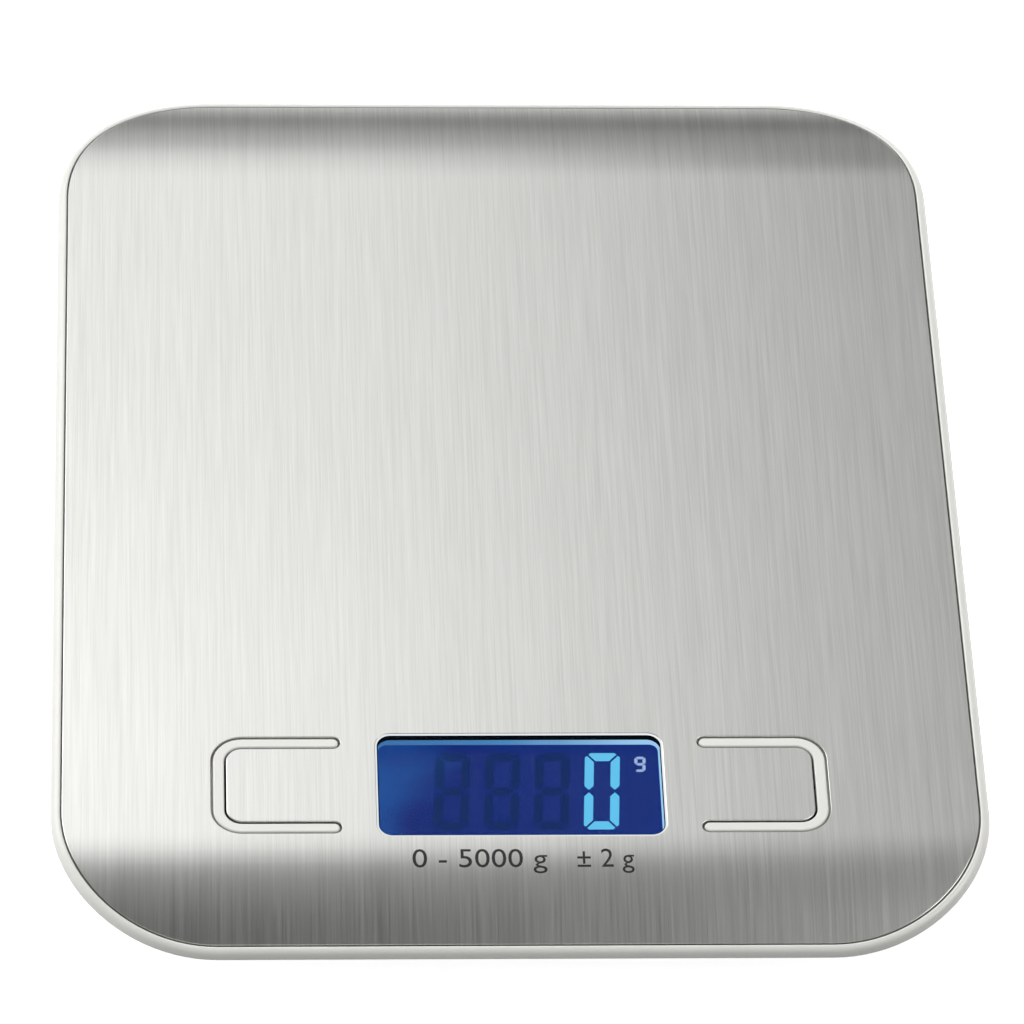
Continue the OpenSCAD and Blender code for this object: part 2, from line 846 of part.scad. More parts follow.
// Coil spring that presses on a cell's flat end, swept along a widening helix
module coil_spring(length) {
    rings = spring_turns * 12;
    sides = 6;
    path = [for (i = [0 : rings])
        let (t = i / rings, a = 360 * spring_turns * t, r = spring_r + (spring_tip_r - spring_r) * t)
        [r * cos(a), r * sin(a), spring_wire + (length - 2 * spring_wire) * t]];
    points = [for (i = [0 : rings], k = [0 : sides - 1])
        let (
            a = 360 * spring_turns * i / rings,
            b = 360 * k / sides,
            out = spring_wire * cos(b)
        )
        path[i] + [out * cos(a), out * sin(a), spring_wire * sin(b)]];
    faces = concat(
        [[for (k = [0 : sides - 1]) k]],
        [for (i = [0 : rings - 1], k = [0 : sides - 1])
            let (a = i * sides + k, b = i * sides + (k + 1) % sides)
            each [[a, a + sides, b], [b, a + sides, b + sides]]],
        [[for (k = [sides - 1 : -1 : 0]) rings * sides + k]]
    );
    polyhedron(points, faces, convexity = 10);
}

module battery_springs() {
    color("gold")
        for (row = [-1, 1])
            translate([row * bay_len / 2, bay_y + row * cell_pitch / 2, battery_z])
                mirror([row > 0 ? 1 : 0, 0, 0]) rotate([0, 90, 0])
                    translate([0, 0, contact_t]) coil_spring(end_room - contact_t - clear);
}

module battery_plates() {
    color("lightgray")
        for (x = [-1, 1], row = [-1, 1])
            translate([x * bay_len / 2 - (x > 0 ? contact_t : 0), bay_y + row * cell_pitch / 2 - plate_w / 2,
                battery_z - plate_w / 2])
                cube([contact_t, plate_w, plate_w]);
}

// ---- Fasteners and leads ----

// Pan-head screw, head down, with a cross recess
module screw(length) {
    difference() {
        union() {
            cylinder(screw_head_h, r1 = screw_head_r - 0.5, r2 = screw_head_r);
            cylinder(screw_head_h + length, r = screw_r);
        }
        for (turn = [0, 90])
            rotate(turn) translate([-1.5, -0.3, -1]) cube([3, 0.6, 1.8]);
    }
}

module housing_screws() {
    color("silver")
        for (at = housing_screws_at)
            translate([at.x, at.y, boss_low - 1 - screw_head_h]) screw(screw_len - 1);
}

module board_screws() {
    color("silver")
        for (x = [-1, 1], y = [-1, 1])
            translate([x * board_screw_x, y * board_screw_y - panel_y, board_low - screw_head_h])
                screw(board_screw_len - 1 + board_t - 0.5);
}

// A lead swept along a path, with a mitred ring of points at each bend
module lead(path) {
    sides = 10;
    last = len(path) - 1;
    points = [for (i = [0 : last])
        let (
            back = i == 0 ? path[1] - path[0] : path[i] - path[i - 1],
            ahead = i == last ? back : path[i + 1] - path[i],
            along = back / norm(back) + ahead / norm(ahead),
            way = along / norm(along),
            side = cross(way, [0.1, 0.2, 1]),
            across = side / norm(side),
            up = cross(across, way)
        )
        for (k = [0 : sides - 1])
            path[i] + lead_r * (across * cos(360 * k / sides) + up * sin(360 * k / sides))];
    faces = concat(
        [[for (k = [0 : sides - 1]) k]],
        [for (i = [0 : last - 1], k = [0 : sides - 1])
            let (a = i * sides + k, b = i * sides + (k + 1) % sides)
            each [[a, a + sides, b], [b, a + sides, b + sides]]],
        [[for (k = [sides - 1 : -1 : 0]) last * sides + k]]
    );
    polyhedron(points, faces, convexity = 4);
}

module sensor_leads() {
    edge_y = -panel_y + board_d / 2 + lead_r + 0.3;
    color("red")
        for (x = [-1, 1]) {
            lead([
                [x * foot_x, foot_y - cell_w / 2 - 1, cell_top + lead_r],
                [x * (foot_x - 8), foot_y - cell_w / 2 - 6, lead_z],
                [x * (foot_x - 8), edge_y + 4, lead_z],
                [x * (foot_x - 14), edge_y, board_top + lead_r]
            ]);
            lead([
                [x * foot_x, -foot_y + cell_w / 2 + 1, cell_top - 1],
                [x * (foot_x - 4), edge_y + 2, cell_top],
                [x * (foot_x - 7), edge_y, board_top + lead_r]
            ]);
        }
}

module battery_leads() {
    edge_y = -panel_y + board_d / 2 + lead_r + 0.3;
    start_y = bay_y - bay_w / 2 - bay_wall - lead_r - clear;
    start_x = bay_len / 2 - 3.5;
    color("black")
        for (x = [-1, 1])
            lead([
                [x * start_x, start_y, battery_z],
                [x * (start_x - 2), start_y - lead_bend, lead_z],
                [x * (battery_lead_x + 2), edge_y + lead_bend - 1, lead_z],
                [x * battery_lead_x, edge_y, board_top]
            ]);
}

steel_platform();
tare_key();
unit_key();
tare_stiffener();
unit_stiffener();
upper_housing();
lower_housing();
display_window();
lcd_panel();
lcd_frame();
light_guide();
reflector_foil();
backlight_leds();
zebra_strip();
main_board();
controller_chip();
board_parts();
tare_switch();
unit_switch();
tare_plunger();
unit_plunger();
load_cell_fl();
load_cell_fr();
load_cell_bl();
load_cell_br();
strain_gauges();
foot_fl();
foot_fr();
foot_bl();
foot_br();
pad_fl();
pad_fr();
pad_bl();
pad_br();
battery_door();
battery_front();
battery_back();
battery_springs();
battery_plates();
housing_screws();
board_screws();
sensor_leads();
battery_leads();
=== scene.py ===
from contextlib import contextmanager
from math import cos, pi, radians, sin, sqrt

import bmesh
import bpy
from mathutils import Matrix, Vector


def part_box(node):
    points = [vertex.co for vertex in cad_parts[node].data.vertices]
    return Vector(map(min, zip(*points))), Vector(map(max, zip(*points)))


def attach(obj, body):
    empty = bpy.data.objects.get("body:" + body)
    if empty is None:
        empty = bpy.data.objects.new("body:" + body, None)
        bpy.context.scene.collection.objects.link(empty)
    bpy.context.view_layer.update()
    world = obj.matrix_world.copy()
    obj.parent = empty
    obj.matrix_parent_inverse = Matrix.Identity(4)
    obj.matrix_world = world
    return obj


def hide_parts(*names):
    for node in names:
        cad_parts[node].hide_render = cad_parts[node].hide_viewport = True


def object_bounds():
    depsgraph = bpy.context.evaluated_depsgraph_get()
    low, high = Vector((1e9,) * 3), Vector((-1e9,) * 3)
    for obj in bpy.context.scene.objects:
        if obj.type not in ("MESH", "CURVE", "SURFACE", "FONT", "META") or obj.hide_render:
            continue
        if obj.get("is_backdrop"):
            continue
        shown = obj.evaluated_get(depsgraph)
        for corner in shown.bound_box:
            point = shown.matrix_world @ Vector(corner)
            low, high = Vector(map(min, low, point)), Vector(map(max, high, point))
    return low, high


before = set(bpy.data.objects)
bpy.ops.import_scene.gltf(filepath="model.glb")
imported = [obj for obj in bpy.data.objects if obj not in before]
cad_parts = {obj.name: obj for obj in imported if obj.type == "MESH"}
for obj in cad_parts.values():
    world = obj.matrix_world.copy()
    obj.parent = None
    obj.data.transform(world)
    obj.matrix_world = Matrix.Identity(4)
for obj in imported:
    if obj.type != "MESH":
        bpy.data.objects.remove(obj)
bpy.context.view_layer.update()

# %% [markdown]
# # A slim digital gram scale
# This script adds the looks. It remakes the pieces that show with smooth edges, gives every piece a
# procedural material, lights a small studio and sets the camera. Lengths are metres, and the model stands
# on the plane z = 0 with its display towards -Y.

MM = 0.001

# %% [markdown]
# ## Sizes that the pieces share
# The frame knows where each piece lies, so the sizes are read from it instead of being written twice.
# Only what a box can't tell, such as a corner radius, is a named value here, as on a drawing.

# %% Sizes read from the frame
sheet_low, sheet_high = (Vector(v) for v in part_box("steel_platform"))
glass_low, glass_high = (Vector(v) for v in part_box("display_window"))
lcd_low, lcd_high = (Vector(v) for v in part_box("lcd_panel"))
door_low, door_high = (Vector(v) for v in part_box("battery_door"))
tongue_low, tongue_high = (Vector(v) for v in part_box("unit_key"))

TOP = sheet_high.z                      # the weighing surface
SHEET_W = sheet_high.x - sheet_low.x
SHEET_D = sheet_high.y - sheet_low.y
SHEET_T = tongue_high.z - tongue_low.z
PANEL_Y = (tongue_low.y + tongue_high.y) / 2  # middle line of the display and the keys
BASE_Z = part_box("lower_housing")[0][2]
print("sheet", round(SHEET_W / MM, 1), "x", round(SHEET_D / MM, 1), "x", round(SHEET_T / MM, 2), "mm")

# %% Sizes that a box can't tell
CORNER_R = 26.8 * MM                    # corner of the sheet
ROLL_LEN = 22 * MM                      # length of each rolled edge
ROLL_DROP = 3.45 * MM                   # and how far it drops
ROLL_R = (ROLL_LEN**2 + ROLL_DROP**2) / (2 * ROLL_DROP)
ROLL_Y = SHEET_D / 2 - ROLL_LEN         # where each roll begins
LIP_OUT = 1.95 * MM                     # the lip stands out from the sheet's edge by this
LIP_GAP = 0.3 * MM                      # and leaves this gap
LIP_FALL = 1.5 * MM                     # its widest line lies this far below the weighing surface
PARTING = 8.5 * MM                      # height of the line between the two housings
PARTING_IN = 4 * MM                     # how far inside the sheet's edge that line lies
BASE_IN = 13 * MM                       # and the flat underside
WINDOW_W = 50.2 * MM                    # cut-out for the window
WINDOW_D = 23.1 * MM
WINDOW_R = 2.7 * MM
KEY_TIP = 52.4 * MM                     # middle line of a key's slot
KEY_HALF = 9.5 * MM
KEY_R = 4.05 * MM
KEY_ROOT = 32.5 * MM                    # the line about which the key bends
SLOT_W = 2.66 * MM
RIB_W = 1.96 * MM                       # white rib in the slot

# %% [markdown]
# ## Helpers for materials
# Colours are written as sRGB hex, as a colour picker shows them, and one function turns them into the
# linear values that a shader wants. One more function adds any node with its settings and its links.

# %% Colour and node helpers
def srgb(code):
    """Linear RGBA of an sRGB hex colour."""
    parts = [int(code[i:i + 2], 16) / 255 for i in (1, 3, 5)]
    return [c / 12.92 if c <= 0.04045 else ((c + 0.055) / 1.055) ** 2.4 for c in parts] + [1]


def add(tree, kind, inputs=None, **settings):
    """Adds a node. Inputs go by socket name or number, and each is a value or another node's output."""
    made = tree.nodes.new(kind)
    for key, value in settings.items():
        setattr(made, key, value)
    for key, value in (inputs or {}).items():
        if isinstance(value, bpy.types.NodeSocket):
            tree.links.new(value, made.inputs[key])
        else:
            made.inputs[key].default_value = value
    return made


def material(name, **surface):
    """A new material with a Principled surface. Returns the material, its tree and its surface node."""
    made = bpy.data.materials.new(name)
    made.use_nodes = True
    tree = made.node_tree
    shader = tree.nodes["Principled BSDF"]
    for key, value in surface.items():
        socket = key.replace("_", " ").title().replace("Ior", "IOR")
        shader.inputs[socket].default_value = srgb(value) if isinstance(value, str) else value
    return made, tree, shader


def stretched(tree, size, centre=(0, 0, 0)):
    """Object coordinates, divided by a cell size in metres along each axis."""
    coords = add(tree, "ShaderNodeTexCoord")
    moved = add(tree, "ShaderNodeVectorMath", {0: coords.outputs["Object"], 1: centre}, operation="SUBTRACT")
    return add(tree, "ShaderNodeVectorMath", {0: moved.outputs[0], 1: size}, operation="DIVIDE").outputs[0]


def noise(tree, size, detail=2, roughness=0.5):
    """Noise whose features measure about size metres along each axis."""
    return add(
        tree, "ShaderNodeTexNoise",
        {"Vector": stretched(tree, size), "Scale": 1, "Detail": detail, "Roughness": roughness},
    ).outputs["Fac"]


def between(tree, factor, low, high, low_at=0.0, high_at=1.0):
    """Maps a factor from one range to another."""
    return add(
        tree, "ShaderNodeMapRange",
        {"Value": factor, "From Min": low_at, "From Max": high_at, "To Min": low, "To Max": high},
    ).outputs["Result"]


def tint(tree, factor, low, high):
    """Mixes two hex colours by a factor."""
    mixed = add(tree, "ShaderNodeMix", {"Factor": factor}, data_type="RGBA")
    mixed.inputs[6].default_value = srgb(low)
    mixed.inputs[7].default_value = srgb(high)
    return mixed.outputs[2]


def bump(tree, shader, height, depth, strength=1.0):
    """Gives a shader relief of a depth in metres."""
    relief = add(tree, "ShaderNodeBump", {"Height": height, "Distance": depth, "Strength": strength})
    tree.links.new(relief.outputs["Normal"], shader.inputs["Normal"])


# %% [markdown]
# ## Brushed stainless steel
# The sheet is 430 stainless, brushed with a belt from front to back. The belt leaves grooves a few
# hundredths of a millimetre wide, which stretch every reflection across the brushing, so the shader is
# anisotropic with its tangent along X. What the eye sees are bundles of grooves: pale and dark hairlines
# a third of a millimetre wide and some centimetres long, over broader, softer bands. Single grooves are
# too fine to show and are drawn as those bundles.

# %% Brushed stainless
def brushed_stainless():
    made, tree, shader = material("brushed_stainless", metallic=1.0, roughness=0.3, anisotropic=0.7)
    hair_w, hair_len, band_w, band_len = 0.32 * MM, 26 * MM, 1.6 * MM, 110 * MM
    hairlines = noise(tree, (hair_w, hair_len, hair_len), detail=3, roughness=0.65)
    bands = noise(tree, (band_w, band_len, band_len), detail=2)
    fine = between(tree, hairlines, 0, 1, 0.3, 0.7)
    both = add(tree, "ShaderNodeMix", {"Factor": 0.35, 2: fine, 3: bands}).outputs[0]
    tree.links.new(tint(tree, both, "#d9d9d6", "#f3f4f0"), shader.inputs["Base Color"])
    tree.links.new(between(tree, both, 0.27, 0.33), shader.inputs["Roughness"])
    across = add(tree, "ShaderNodeCombineXYZ", {0: 1.0, 1: 0.0, 2: 0.0})
    tree.links.new(across.outputs[0], shader.inputs["Tangent"])
    bump(tree, shader, fine, 0.004 * MM, 0.25)
    return made


STEEL = brushed_stainless()
print("made", STEEL.name)

# %% [markdown]
# ## White ABS
# Both housings are moulded in white ABS. The upper one comes from a polished tool, so it is semi-gloss
# with a faint waviness. The base, the feet and the door come from a spark-eroded tool with a grain of
# about a tenth of a millimetre. It is drawn three times as coarse, so that it shows. The switches and the
# display's tray are black ABS with the same grain.

# %% White ABS, polished and textured
def white_abs():
    made, tree, shader = material("abs_polished_white", roughness=0.3, ior=1.53)
    cloud = noise(tree, (9 * MM,) * 3)
    tree.links.new(tint(tree, cloud, "#e4e4df", "#ebebe6"), shader.inputs["Base Color"])
    tree.links.new(between(tree, cloud, 0.26, 0.34), shader.inputs["Roughness"])
    bump(tree, shader, noise(tree, (1.5 * MM,) * 3, detail=1), 0.01 * MM, 0.2)
    return made


def grained_abs(name="abs_grained_white", pale="#e8eae8", dark="#dddfdd"):
    made, tree, shader = material(name, roughness=0.55, ior=1.53)
    grain = noise(tree, (0.3 * MM,) * 3, detail=2, roughness=0.6)
    cloud = noise(tree, (14 * MM,) * 3)
    tree.links.new(tint(tree, cloud, dark, pale), shader.inputs["Base Color"])
    tree.links.new(between(tree, grain, 0.48, 0.62), shader.inputs["Roughness"])
    bump(tree, shader, grain, 0.02 * MM, 0.5)
    return made


ABS = white_abs()
ABS_BASE = grained_abs()
ABS_INNER = grained_abs("abs_inner_white", "#e6e8e6", "#dcdedc")
ABS_BLACK = grained_abs("abs_grained_black", "#1b1c1e", "#141517")
print("made", ABS.name, ABS_BASE.name, ABS_INNER.name, ABS_BLACK.name)

# %% [markdown]
# ## The display
# The window is cast acrylic with a coating against glare, so its index of refraction is set lower than
# bare acrylic's 1.49. Below it lies a backlit liquid-crystal glass: blue where the crystal is off, pale
# where a lit digit lets the light through. The light comes from LEDs below a guide and is never even, so
# the navy turns teal towards the left. That slow drift is a gradient along the glass with a little noise.

# %% Acrylic and display materials
def clear_acrylic():
    made, tree, shader = material("acrylic_cast_clear", roughness=0.03, ior=1.08)
    shader.inputs["Transmission Weight"].default_value = 1.0
    cloud = noise(tree, (20 * MM,) * 3, detail=1)
    tree.links.new(tint(tree, cloud, "#fbfdff", "#ffffff"), shader.inputs["Base Color"])
    return made


def glowing(name, left, middle, right, strength, cloudy=0.12, gloss=0.35, middle_at=0.5):
    """A glowing layer whose colour drifts from left to right, for the backlit display and for the painted
    light and shade round the window. Its middle colour may stand off the middle.
    """
    made, tree, shader = material(name, roughness=gloss, base_color="#020306")
    shader.inputs["Specular IOR Level"].default_value = 0.0
    place = add(tree, "ShaderNodeSeparateXYZ", {0: stretched(tree, (WINDOW_W,) * 3)}).outputs[0]
    drift = between(tree, noise(tree, (11 * MM, 9 * MM, 9 * MM), detail=1), -cloudy, cloudy, 0.2, 0.8)
    shifted = add(tree, "ShaderNodeMath", {0: drift, 1: place}, operation="ADD").outputs[0]
    ramp = add(tree, "ShaderNodeValToRGB", {"Fac": between(tree, shifted, 0, 1, -0.5, 0.5)})
    ramp.color_ramp.elements[0].color = srgb(left)
    ramp.color_ramp.elements[1].color = srgb(right)
    ramp.color_ramp.elements.new(middle_at).color = srgb(middle)
    tree.links.new(ramp.outputs[0], shader.inputs["Emission Color"])
    shader.inputs["Emission Strength"].default_value = strength
    return made


ACRYLIC = clear_acrylic()
LCD_BLUE = glowing("lcd_backlit_blue", "#1d4e96", "#142a73", "#18307a", 1.0, middle_at=0.24)
LCD_GHOST = glowing("lcd_segment_off", "#1b4379", "#172d60", "#152c60", 1.0, middle_at=0.24)
LCD_LIT = glowing("lcd_segment_lit", "#62bfe6", "#62bfe6", "#5fc0ea", 1.05, cloudy=0.3)
LCD_UNIT = glowing("lcd_symbol_lit", "#9fb6dc", "#9fb6dc", "#9fb6dc", 1.0)
# The glow round the glass is the backlight's own. The same material also paints the backlight's light on the
# window opening's walls.
LCD_EDGE = glowing("lcd_border_glow", "#3d6ea6", "#4a84b8", "#a2d4f8", 1.0, cloudy=0.05)
# Painted shade: near-black and unlit, for the shadowed walls at the back and sides of the window's opening.
WINDOW_PAINTED_SHADE = glowing("lcd_mask_black", "#05070c", "#04060a", "#05070b", 1.0)
# Painted dark: an unlit near-black line for the dark that the window's polished edge refracts.
WINDOW_EDGE_PAINTED_DARK = glowing("window_border_ink", "#050912", "#04070f", "#050912", 1.0)
# Painted highlight: a white glow that stands for the bright polished edge round the window's cut-out.
WINDOW_EDGE_HIGHLIGHT = glowing("silicone_seal_lit", "#e8edf2", "#eaeef2", "#f0f4f8", 1.0, cloudy=0.05)
display_materials = (ACRYLIC, LCD_BLUE, LCD_GHOST, LCD_LIT, LCD_UNIT, LCD_EDGE, WINDOW_PAINTED_SHADE, WINDOW_EDGE_PAINTED_DARK, WINDOW_EDGE_HIGHLIGHT)
print("made", ", ".join(made.name for made in display_materials))

# %% [markdown]
# ## Rubber, metals and board materials
# These pieces lie below the sheet or under the base. Each still gets its own procedural pattern: woven
# glass in the laminate, a mould grain in the rubber, zinc spangle on the screws, a shrink jacket on the
# batteries.

# %% Rubber, metals and board
def speckled(name, dark, pale, size, grain=0.0, **surface):
    """A surface mottled between two colours, with an optional relief of a depth in metres."""
    made, tree, shader = material(name, **surface)
    cloud = noise(tree, (size,) * 3, detail=3)
    tree.links.new(tint(tree, between(tree, cloud, 0, 1, 0.3, 0.7), dark, pale), shader.inputs["Base Color"])
    base = surface.get("roughness", 0.5)
    tree.links.new(between(tree, cloud, base * 0.85, base * 1.15), shader.inputs["Roughness"])
    if grain:
        bump(tree, shader, noise(tree, (size / 4,) * 3), grain, 0.5)
    return made


def board_laminate():
    made, tree, shader = material("fr4_solder_mask_green", roughness=0.38, ior=1.5)
    yarn = 0.9 * MM
    sizes = {"Vector": add(tree, "ShaderNodeTexCoord").outputs["Object"], "Scale": 1 / yarn / 20}
    warp, weft = (add(tree, "ShaderNodeTexWave", sizes, bands_direction=way).outputs["Fac"] for way in "XY")
    woven = add(tree, "ShaderNodeMath", {0: warp, 1: weft}, operation="MULTIPLY").outputs[0]
    tree.links.new(tint(tree, woven, "#12492c", "#1c6340"), shader.inputs["Base Color"])
    bump(tree, shader, woven, 0.01 * MM, 0.3)
    return made


RUBBER = speckled("rubber_moulded_black", "#1d1d1f", "#2a2a2c", 0.8 * MM, 0.02 * MM, roughness=0.75)
RUBBER_GREY = speckled("silicone_feet_grey", "#8d9092", "#9a9d9f", 0.8 * MM, 0.02 * MM, roughness=0.7)
ZINC = speckled("zinc_plated_steel", "#a9adb0", "#c3c7ca", 1.2 * MM, metallic=1.0, roughness=0.32)
NICKEL = speckled("nickel_plated_steel", "#b9b7ae", "#cfccc2", 0.7 * MM, metallic=1.0, roughness=0.25)
CELL_STEEL = speckled(
    "nickel_plated_cell_steel", "#a4a5a4", "#bcbdbb", 2.5 * MM, metallic=1.0, roughness=0.35,
)
EPOXY = speckled("epoxy_moulded_black", "#101113", "#1a1b1d", 0.5 * MM, 0.01 * MM, roughness=0.6)
CERAMIC = speckled("ceramic_chip_tan", "#8d7350", "#ad906a", 0.6 * MM, roughness=0.45)
GAUGE = speckled("polyimide_film_amber", "#b0752a", "#c98b3a", 1.5 * MM, roughness=0.35)
JACKET = speckled("pvc_battery_jacket", "#23303c", "#2d3c4a", 6 * MM, roughness=0.3)
PVC_RED = speckled("pvc_lead_red", "#8f1b18", "#a32420", 1 * MM, roughness=0.4)
PVC_BLACK = speckled("pvc_lead_black", "#161616", "#222222", 1 * MM, roughness=0.4)
FILM = speckled("polyester_film_white", "#e4e6e8", "#f4f5f6", 3 * MM, roughness=0.25)
GUIDE = speckled("acrylic_light_guide", "#dfe6ea", "#f2f6f8", 2 * MM, roughness=0.12)
LED = speckled("epoxy_led_pale", "#e9e3b8", "#f6f0c9", 0.4 * MM, roughness=0.3)
print("materials so far:", len(bpy.data.materials))

# %% [markdown]
# ## Helpers for shapes
# Outlines are lists of points. A plate is an outline with holes, filled and given a small round edge. A
# skin joins rows of points. Curves become meshes straight away, so every piece that is handed over is a
# plain mesh.

# %% Outlines and paths
def arc(cx, cy, r, start, end, steps):
    """Points along an arc, in degrees, both ends included."""
    turns = [radians(start + (end - start) * i / steps) for i in range(steps + 1)]
    return [(cx + r * cos(a), cy + r * sin(a)) for a in turns]


def rounded(w, d, r, y=0.0, steps=10):
    """A rounded rectangle about (0, y), counterclockwise."""
    x, dy = w / 2 - r, d / 2 - r
    return (
        arc(x, y - dy, r, -90, 0, steps) + arc(x, y + dy, r, 0, 90, steps)
        + arc(-x, y + dy, r, 90, 180, steps) + arc(-x, y - dy, r, 180, 270, steps)
    )


def window_outline(inset=0.0):
    """The window's cut-out, or an outline that lies inside it."""
    return rounded(WINDOW_W - 2 * inset, WINDOW_D - 2 * inset, WINDOW_R - inset, PANEL_Y)


def tongue_outline(side, grow=0.0, root=KEY_ROOT, steps=10):
    """A U round a key, from the lower root round the tip to the upper root, at a distance from its slot."""
    tip, half, r = KEY_TIP + grow, KEY_HALF + grow, KEY_R + grow
    tip_arcs = arc(tip - r, r - half, r, -90, 0, steps) + arc(tip - r, half - r, r, 0, 90, steps)
    return [(side * x, y + PANEL_Y) for x, y in [(root, -half), *tip_arcs, (root, half)]]


def slot_outline(side, width):
    """The closed outline of a key's slot, with round ends."""
    h = width / 2
    outer, inner = tongue_outline(1, h), tongue_outline(1, -h)
    upper_end = arc(KEY_ROOT, PANEL_Y + KEY_HALF, h, 90, 270, 8)
    lower_end = arc(KEY_ROOT, PANEL_Y - KEY_HALF, h, 90, 270, 8)
    closed = outer + upper_end[1:-1] + inner[::-1] + lower_end[1:-1]
    return [(side * x, y) for x, y in closed]


def surface_z(y):
    """Height of the sheet's top, which rolls down along its front and back edges."""
    past = max(0.0, abs(y) - ROLL_Y)
    return TOP - ROLL_R + sqrt(ROLL_R**2 - past**2)


# %% Pieces, plates and skins
def new_piece(name, mesh, mat, nodes=(), body="housing", angle=30):
    """Wraps a mesh as a piece of the model: smooth where it's round, dressed, and riding on its body."""
    obj = bpy.data.objects.new(name, mesh)
    bpy.context.scene.collection.objects.link(obj)
    mesh.materials.clear()
    mesh.materials.append(mat)
    mesh.shade_smooth()
    mesh.set_sharp_from_angle(angle=radians(angle))
    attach(obj, body)
    if nodes:
        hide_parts(*nodes)
    return obj


def plate_mesh(loops, low, high, edge=0.0, steps=1, inset=0.0):
    """A flat plate between two heights: the first loop is the outline, the others are holes."""
    curve = bpy.data.curves.new("plate", "CURVE")
    curve.dimensions = "2D"
    curve.fill_mode = "BOTH"
    curve.extrude = (high - low) / 2 - edge
    curve.bevel_depth = edge
    curve.bevel_resolution = steps
    curve.offset = -edge - inset
    for loop in loops:
        spline = curve.splines.new("POLY")
        spline.points.add(len(loop) - 1)
        for point, (x, y) in zip(spline.points, loop):
            point.co = (x, y, 0, 1)
        spline.use_cyclic_u = True
    maker = bpy.data.objects.new("plate", curve)
    mesh = bpy.data.meshes.new_from_object(maker)
    mesh.transform(Matrix.Translation((0, 0, (low + high) / 2)))
    bpy.data.objects.remove(maker)
    return mesh


def skin_mesh(rows):
    """A skin over rows of points, open at the ends."""
    mesh = bpy.data.meshes.new("skin")
    count = len(rows[0])
    starts = [row * count + j for row in range(len(rows) - 1) for j in range(count - 1)]
    faces = [(at, at + 1, at + count + 1, at + count) for at in starts]
    mesh.from_pydata([point for row in rows for point in row], [], faces)
    return mesh


@contextmanager
def editing(mesh, *sources):
    """A mesh in its editable form, filled from itself or from other meshes, and written back at the end."""
    bm = bmesh.new()
    for source in sources or (mesh,):
        bm.from_mesh(source)
    yield bm
    bm.to_mesh(mesh)
    bm.free()


def joined(*meshes):
    """One mesh of several."""
    made = bpy.data.meshes.new("joined")
    with editing(made, *meshes) as bm:
        bmesh.ops.recalc_face_normals(bm, faces=bm.faces)
    return made


def box_mesh(low, high, edge=0.0):
    """A block between two corners, with its edges rounded."""
    made = bpy.data.meshes.new("box")
    low, high = Vector(low), Vector(high)
    with editing(made) as bm:
        bmesh.ops.create_cube(bm, size=1)
        for v in bm.verts:
            v.co = (low + high) / 2 + Vector(a * b for a, b in zip(v.co, high - low))
        if edge:
            bmesh.ops.bevel(bm, geom=bm.edges[:], offset=edge, segments=2, affect="EDGES", profile=0.5)
    return made


def cut(mesh, tool):
    """A mesh with a tool's shape taken out. Coincident points are joined first, so that both are closed."""
    for part in (mesh, tool):
        with editing(part) as bm:
            bmesh.ops.remove_doubles(bm, verts=bm.verts[:], dist=1e-7)
    maker, cutter = (bpy.data.objects.new("cut", m) for m in (mesh, tool))
    cutting = maker.modifiers.new("cut", "BOOLEAN")
    cutting.operation, cutting.solver, cutting.object = "DIFFERENCE", "EXACT", cutter
    for obj in (maker, cutter):
        bpy.context.scene.collection.objects.link(obj)
    made = bpy.data.meshes.new_from_object(maker.evaluated_get(bpy.context.evaluated_depsgraph_get()))
    for obj in (maker, cutter):
        bpy.data.objects.remove(obj)
    return made


def turned_mesh(profile, x=0.0, y=0.0, steps=48):
    """A skin turned about a vertical axis from (radius, height) pairs in millimetres."""
    turns = [2 * pi * i / steps for i in range(steps + 1)]
    rows = [[(x + r * MM * cos(a), y + r * MM * sin(a), z * MM) for r, z in profile] for a in turns]
    made = skin_mesh(rows)
    with editing(made) as bm:
        bmesh.ops.remove_doubles(bm, verts=bm.verts, dist=1e-6)
        bmesh.ops.recalc_face_normals(bm, faces=bm.faces)
    return made


def cut_at(bm, place, across, keep=lambda middle: True):
    """Cuts the faces whose middle passes a test along a plane."""
    faces = [f for f in bm.faces if keep(f.calc_center_median())]
    edges = dict.fromkeys(e for f in faces for e in f.edges)
    verts = dict.fromkeys(v for f in faces for v in f.verts)
    bmesh.ops.bisect_plane(bm, geom=[*verts, *edges, *faces], plane_co=place, plane_no=across)


def rolled(mesh, rows=24):
    """Bends a flat mesh down along the two rolled edges, after cutting it into rows there."""
    with editing(mesh) as bm:
        for i in range(rows):
            for side in (-1, 1):
                cut_at(bm, (0, side * (ROLL_Y + ROLL_LEN * i / rows), 0), (0, 1, 0))
        for v in bm.verts:
            v.co.z += surface_z(v.co.y) - TOP
    return mesh


# %% [markdown]
# ## Sweeps and repeats with Geometry Nodes
# The rim and the base each take one section round the whole outline, and the screws, bosses and digits
# are one shape at many places. Geometry Nodes make those: a tree with named sizes runs on a path or on
# points, and the result is turned into a plain mesh at once.

# %% Helpers for trees
def geometry_tree(name, **sizes):
    """A tree with a mesh coming in and named sizes. Returns the tree and what comes in."""
    tree = bpy.data.node_groups.new(name, "GeometryNodeTree")
    tree.interface.new_socket("Geometry", in_out="INPUT", socket_type="NodeSocketGeometry")
    for label, kind in {**sizes, "material": "Material"}.items():
        title = label.replace("_", " ").title()
        tree.interface.new_socket(title, in_out="INPUT", socket_type="NodeSocket" + kind)
    tree.interface.new_socket("Geometry", in_out="OUTPUT", socket_type="NodeSocketGeometry")
    return tree, add(tree, "NodeGroupInput").outputs


def end_tree(tree, given, geometry):
    """Closes a tree: real geometry, dressed in the material that was given."""
    real = add(tree, "GeometryNodeRealizeInstances", {0: geometry}).outputs[0]
    dressed = add(tree, "GeometryNodeSetMaterial", {0: real, "Material": given["Material"]}).outputs[0]
    add(tree, "NodeGroupOutput", {0: dressed})


